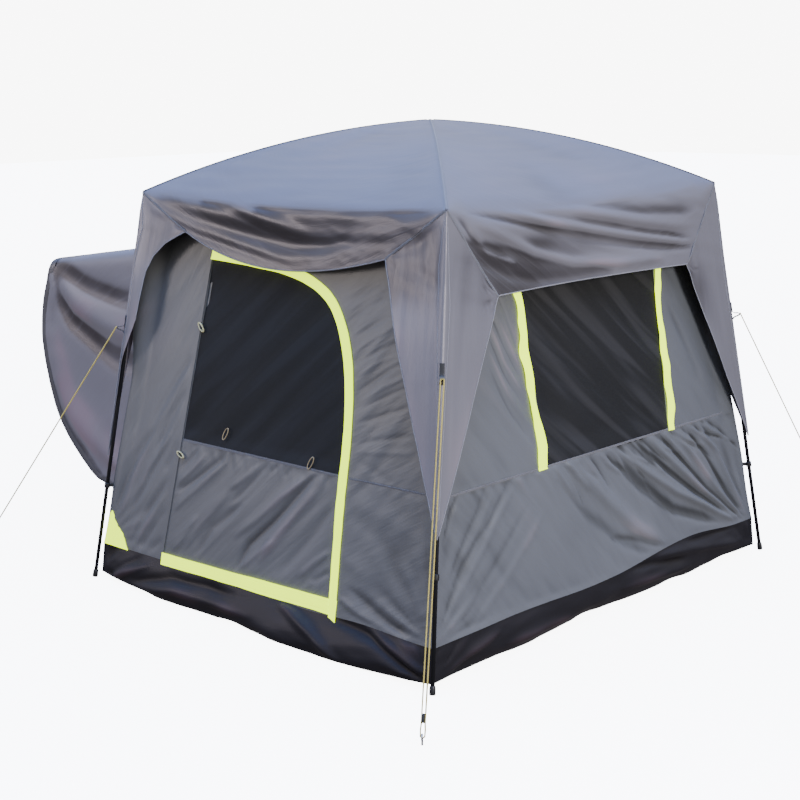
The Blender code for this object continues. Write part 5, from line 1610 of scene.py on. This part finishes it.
# Corner patches
# Bright reinforcing patches are sewn on where the door's hinge side meets the tub, with a
# matching one on the far side.
PATCH = [(-1.075, 0.168), (-1.071, 0.245), (-1.046, 0.336), (-1.022, 0.300), (-0.985, 0.268), (-0.950, 0.245),
         (-0.918, 0.205), (-0.893, 0.172)]


def patch_panel(side, mirror):
    right = spaced(smooth_line(PATCH[2:], 6), 26)
    height = right[:, 1][:, None]
    left = -side_half(side, height, wall_half) + 0.004
    share = np.linspace(0, 1, 16)[None, :]
    across = (left + (right[:, :1] - left) * share) * mirror
    level = height + 0 * share
    out = 0.0025 + 0.0012 * np.abs(crumple(across * 20, level * 20, 270))
    points = on_side(side, across, level, wall_half, wall_relief(side, across, np.maximum(level, 0.174)) + out)
    return Panel(points, (*SIDES[side][1], 0.0))


for side, mirror in (("door", 1), ("back", -1)):
    patch = sew(side + "_corner_patch", [patch_panel(side, mirror)], bright_tape, 0.001, 0.00005)
    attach(patch, "root")


# Clips, tabs, guy lines and pegs
# Plastic clips hold the inner tent to the legs. Webbing tabs on the fly's corners carry doubled
# cords, set by a runner and hooked under steel pegs whose heads stand out of the ground.
CLIP_HEIGHT = 0.46
TAB_HEIGHT = 1.23
TAB_LENGTH = 0.034
CORD_RADIUS = 0.0029
CORD_SPREAD = 0.0090
PEG_RADIUS = 0.004
PEG_RISE = 0.045
PEG_GRIP = 0.24
STAKES = {"front": (1.397, -1.624), "right": (1.55, 1.458), "rear": (-1.55, 1.74), "left": (-1.55, -1.74)}

black_webbing = trim_cloth("black_webbing", (0.014, 0.014, 0.015, 1), (0.008, 0.008, 0.009, 1), (0.04, 0.04, 0.04, 1), 0.008)
guy_cord = trim_cloth("guy_cord", (0.50, 0.36, 0.045, 1), (0.34, 0.22, 0.03, 1), (0.62, 0.48, 0.09, 1), 0.0005, pitch=0.003)

for corner in CORNERS:
    foot = corner_point(corner, 0.0, leg_half)
    up = (corner_point(corner, 1.0, leg_half) - foot).normalized()
    edge = corner_point(corner, TAB_HEIGHT, fly_half)
    out = Vector((*CORNERS[corner], 0))
    out = (out - out.project(up)).normalized()
    skin = SKIN * math.sqrt(2) + 0.0010
    loop = [(0.062, 0.0), (0.040, 0.0), (0.018, 0.0004), (0.010, 0.004), (0.006, 0.016), (0.004, 0.028), (0.000, 0.0335),
            (-0.006, 0.0335), (-0.010, 0.027), (-0.013, 0.014), (-0.017, 0.003), (-0.024, 0.0)]
    tab_path = [list(edge + up * rise + out * (skin + reach)) for rise, reach in smooth_line(loop, 4)]
    tab = ribbon("guy_tab_" + corner, tab_path, list(up.cross(out)), 0.020, black_webbing, list(out), 0.0016)
    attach(tab, "root")
    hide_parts("guy_tab_" + corner)
    start = edge + out * (skin + TAB_LENGTH + CORD_RADIUS + 0.0006)
    clip_at = corner_point(corner, CLIP_HEIGHT, leg_half)
    wall_at = corner_point(corner, CLIP_HEIGHT, wall_half)
    ring = turned("clip_ring", clip_at - up * 0.013, up, [
        (0.0, 0.0112), (0.002, 0.0136), (0.011, 0.0140), (0.015, 0.0140), (0.024, 0.0136), (0.026, 0.0112)], black_plastic)
    inward = (wall_at - clip_at).normalized()
    tongue = ribbon("clip_tongue", [list(clip_at.lerp(wall_at, share) - inward * 0.001) for share in np.linspace(0, 1, 9)],
                    list(up), 0.018, black_webbing, list(up.cross(inward)), 0.003)
    clip = join([ring, tongue], "leg_clip_" + corner)
    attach(clip, "root")
    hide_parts("leg_clip_" + corner)
    stake = Vector((*STAKES[corner], 0))
    hook = stake + Vector((0, 0, PEG_RISE * PEG_GRIP))
    line = (hook - start).normalized()
    aside = line.cross(Vector((0, 0, 1))).normalized() * CORD_SPREAD
    end = hook - line * (PEG_RADIUS + CORD_RADIUS + 0.0003) / math.hypot(line.x, line.y)
    runner_at = end - line * (0.07 if corner == "front" else 0.30)
    knots = [start - aside * 0.6, start + line * 0.006 - aside * 0.8, start + line * 0.10 - aside * 0.8,
             runner_at - line * 0.02 - aside * 0.8, runner_at + line * 0.02 - aside * 0.8, end - line * 0.03 - aside * 1.0,
             end - line * 0.004 - aside * 0.9, end + line * 0.001, end - line * 0.004 + aside * 0.9,
             end - line * 0.03 + aside * 1.0, runner_at + line * 0.02 + aside * 0.8, runner_at - line * 0.02 + aside * 0.8,
             start + line * 0.10 + aside * 0.8, start + line * 0.006 + aside * 0.8, start + aside * 0.6]
    cord = bent_tube("guy_cord_" + corner, [list(point) for point in knots], CORD_RADIUS, guy_cord, "root",
                     closed=True)
    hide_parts("guy_line_" + corner)
    bpy.ops.object.select_all(action="DESELECT")
    bpy.ops.mesh.primitive_cube_add(size=1, location=(0, 0, 0))
    runner = bpy.context.object
    runner.name = "guy_runner_" + corner
    runner.scale = (0.010, 0.026, 0.034)
    bpy.ops.object.transform_apply()
    soft_edge = runner.modifiers.new("rounded edges", "BEVEL")
    soft_edge.width = 0.0024
    soft_edge.segments = 3
    bpy.ops.object.modifier_apply(modifier=soft_edge.name)
    runner.rotation_euler = line.to_track_quat("Z", "Y").to_euler()
    runner.location = runner_at
    bpy.ops.object.transform_apply()
    bpy.ops.object.shade_smooth_by_angle(angle=math.radians(50))
    runner.data.materials.append(black_plastic)
    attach(runner, "root")
    lean = Vector((stake.x, stake.y, 0)).normalized()
    rise = Vector((0, 0, 1))
    bend = stake + rise * (PEG_RISE - 0.010)
    arc = [bend + lean * 0.010 * (1 - math.cos(turn)) + rise * 0.010 * math.sin(turn)
           for turn in np.linspace(0, math.pi, 12)]
    peg = bent_tube("guy_peg_hook_" + corner, [list(p) for p in [stake, stake + rise * 0.02, bend] + arc[1:]
                    + [arc[-1] - rise * 0.008]], PEG_RADIUS * 0.97, bright_steel, "root", sides=12)
    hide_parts("guy_peg_" + corner)
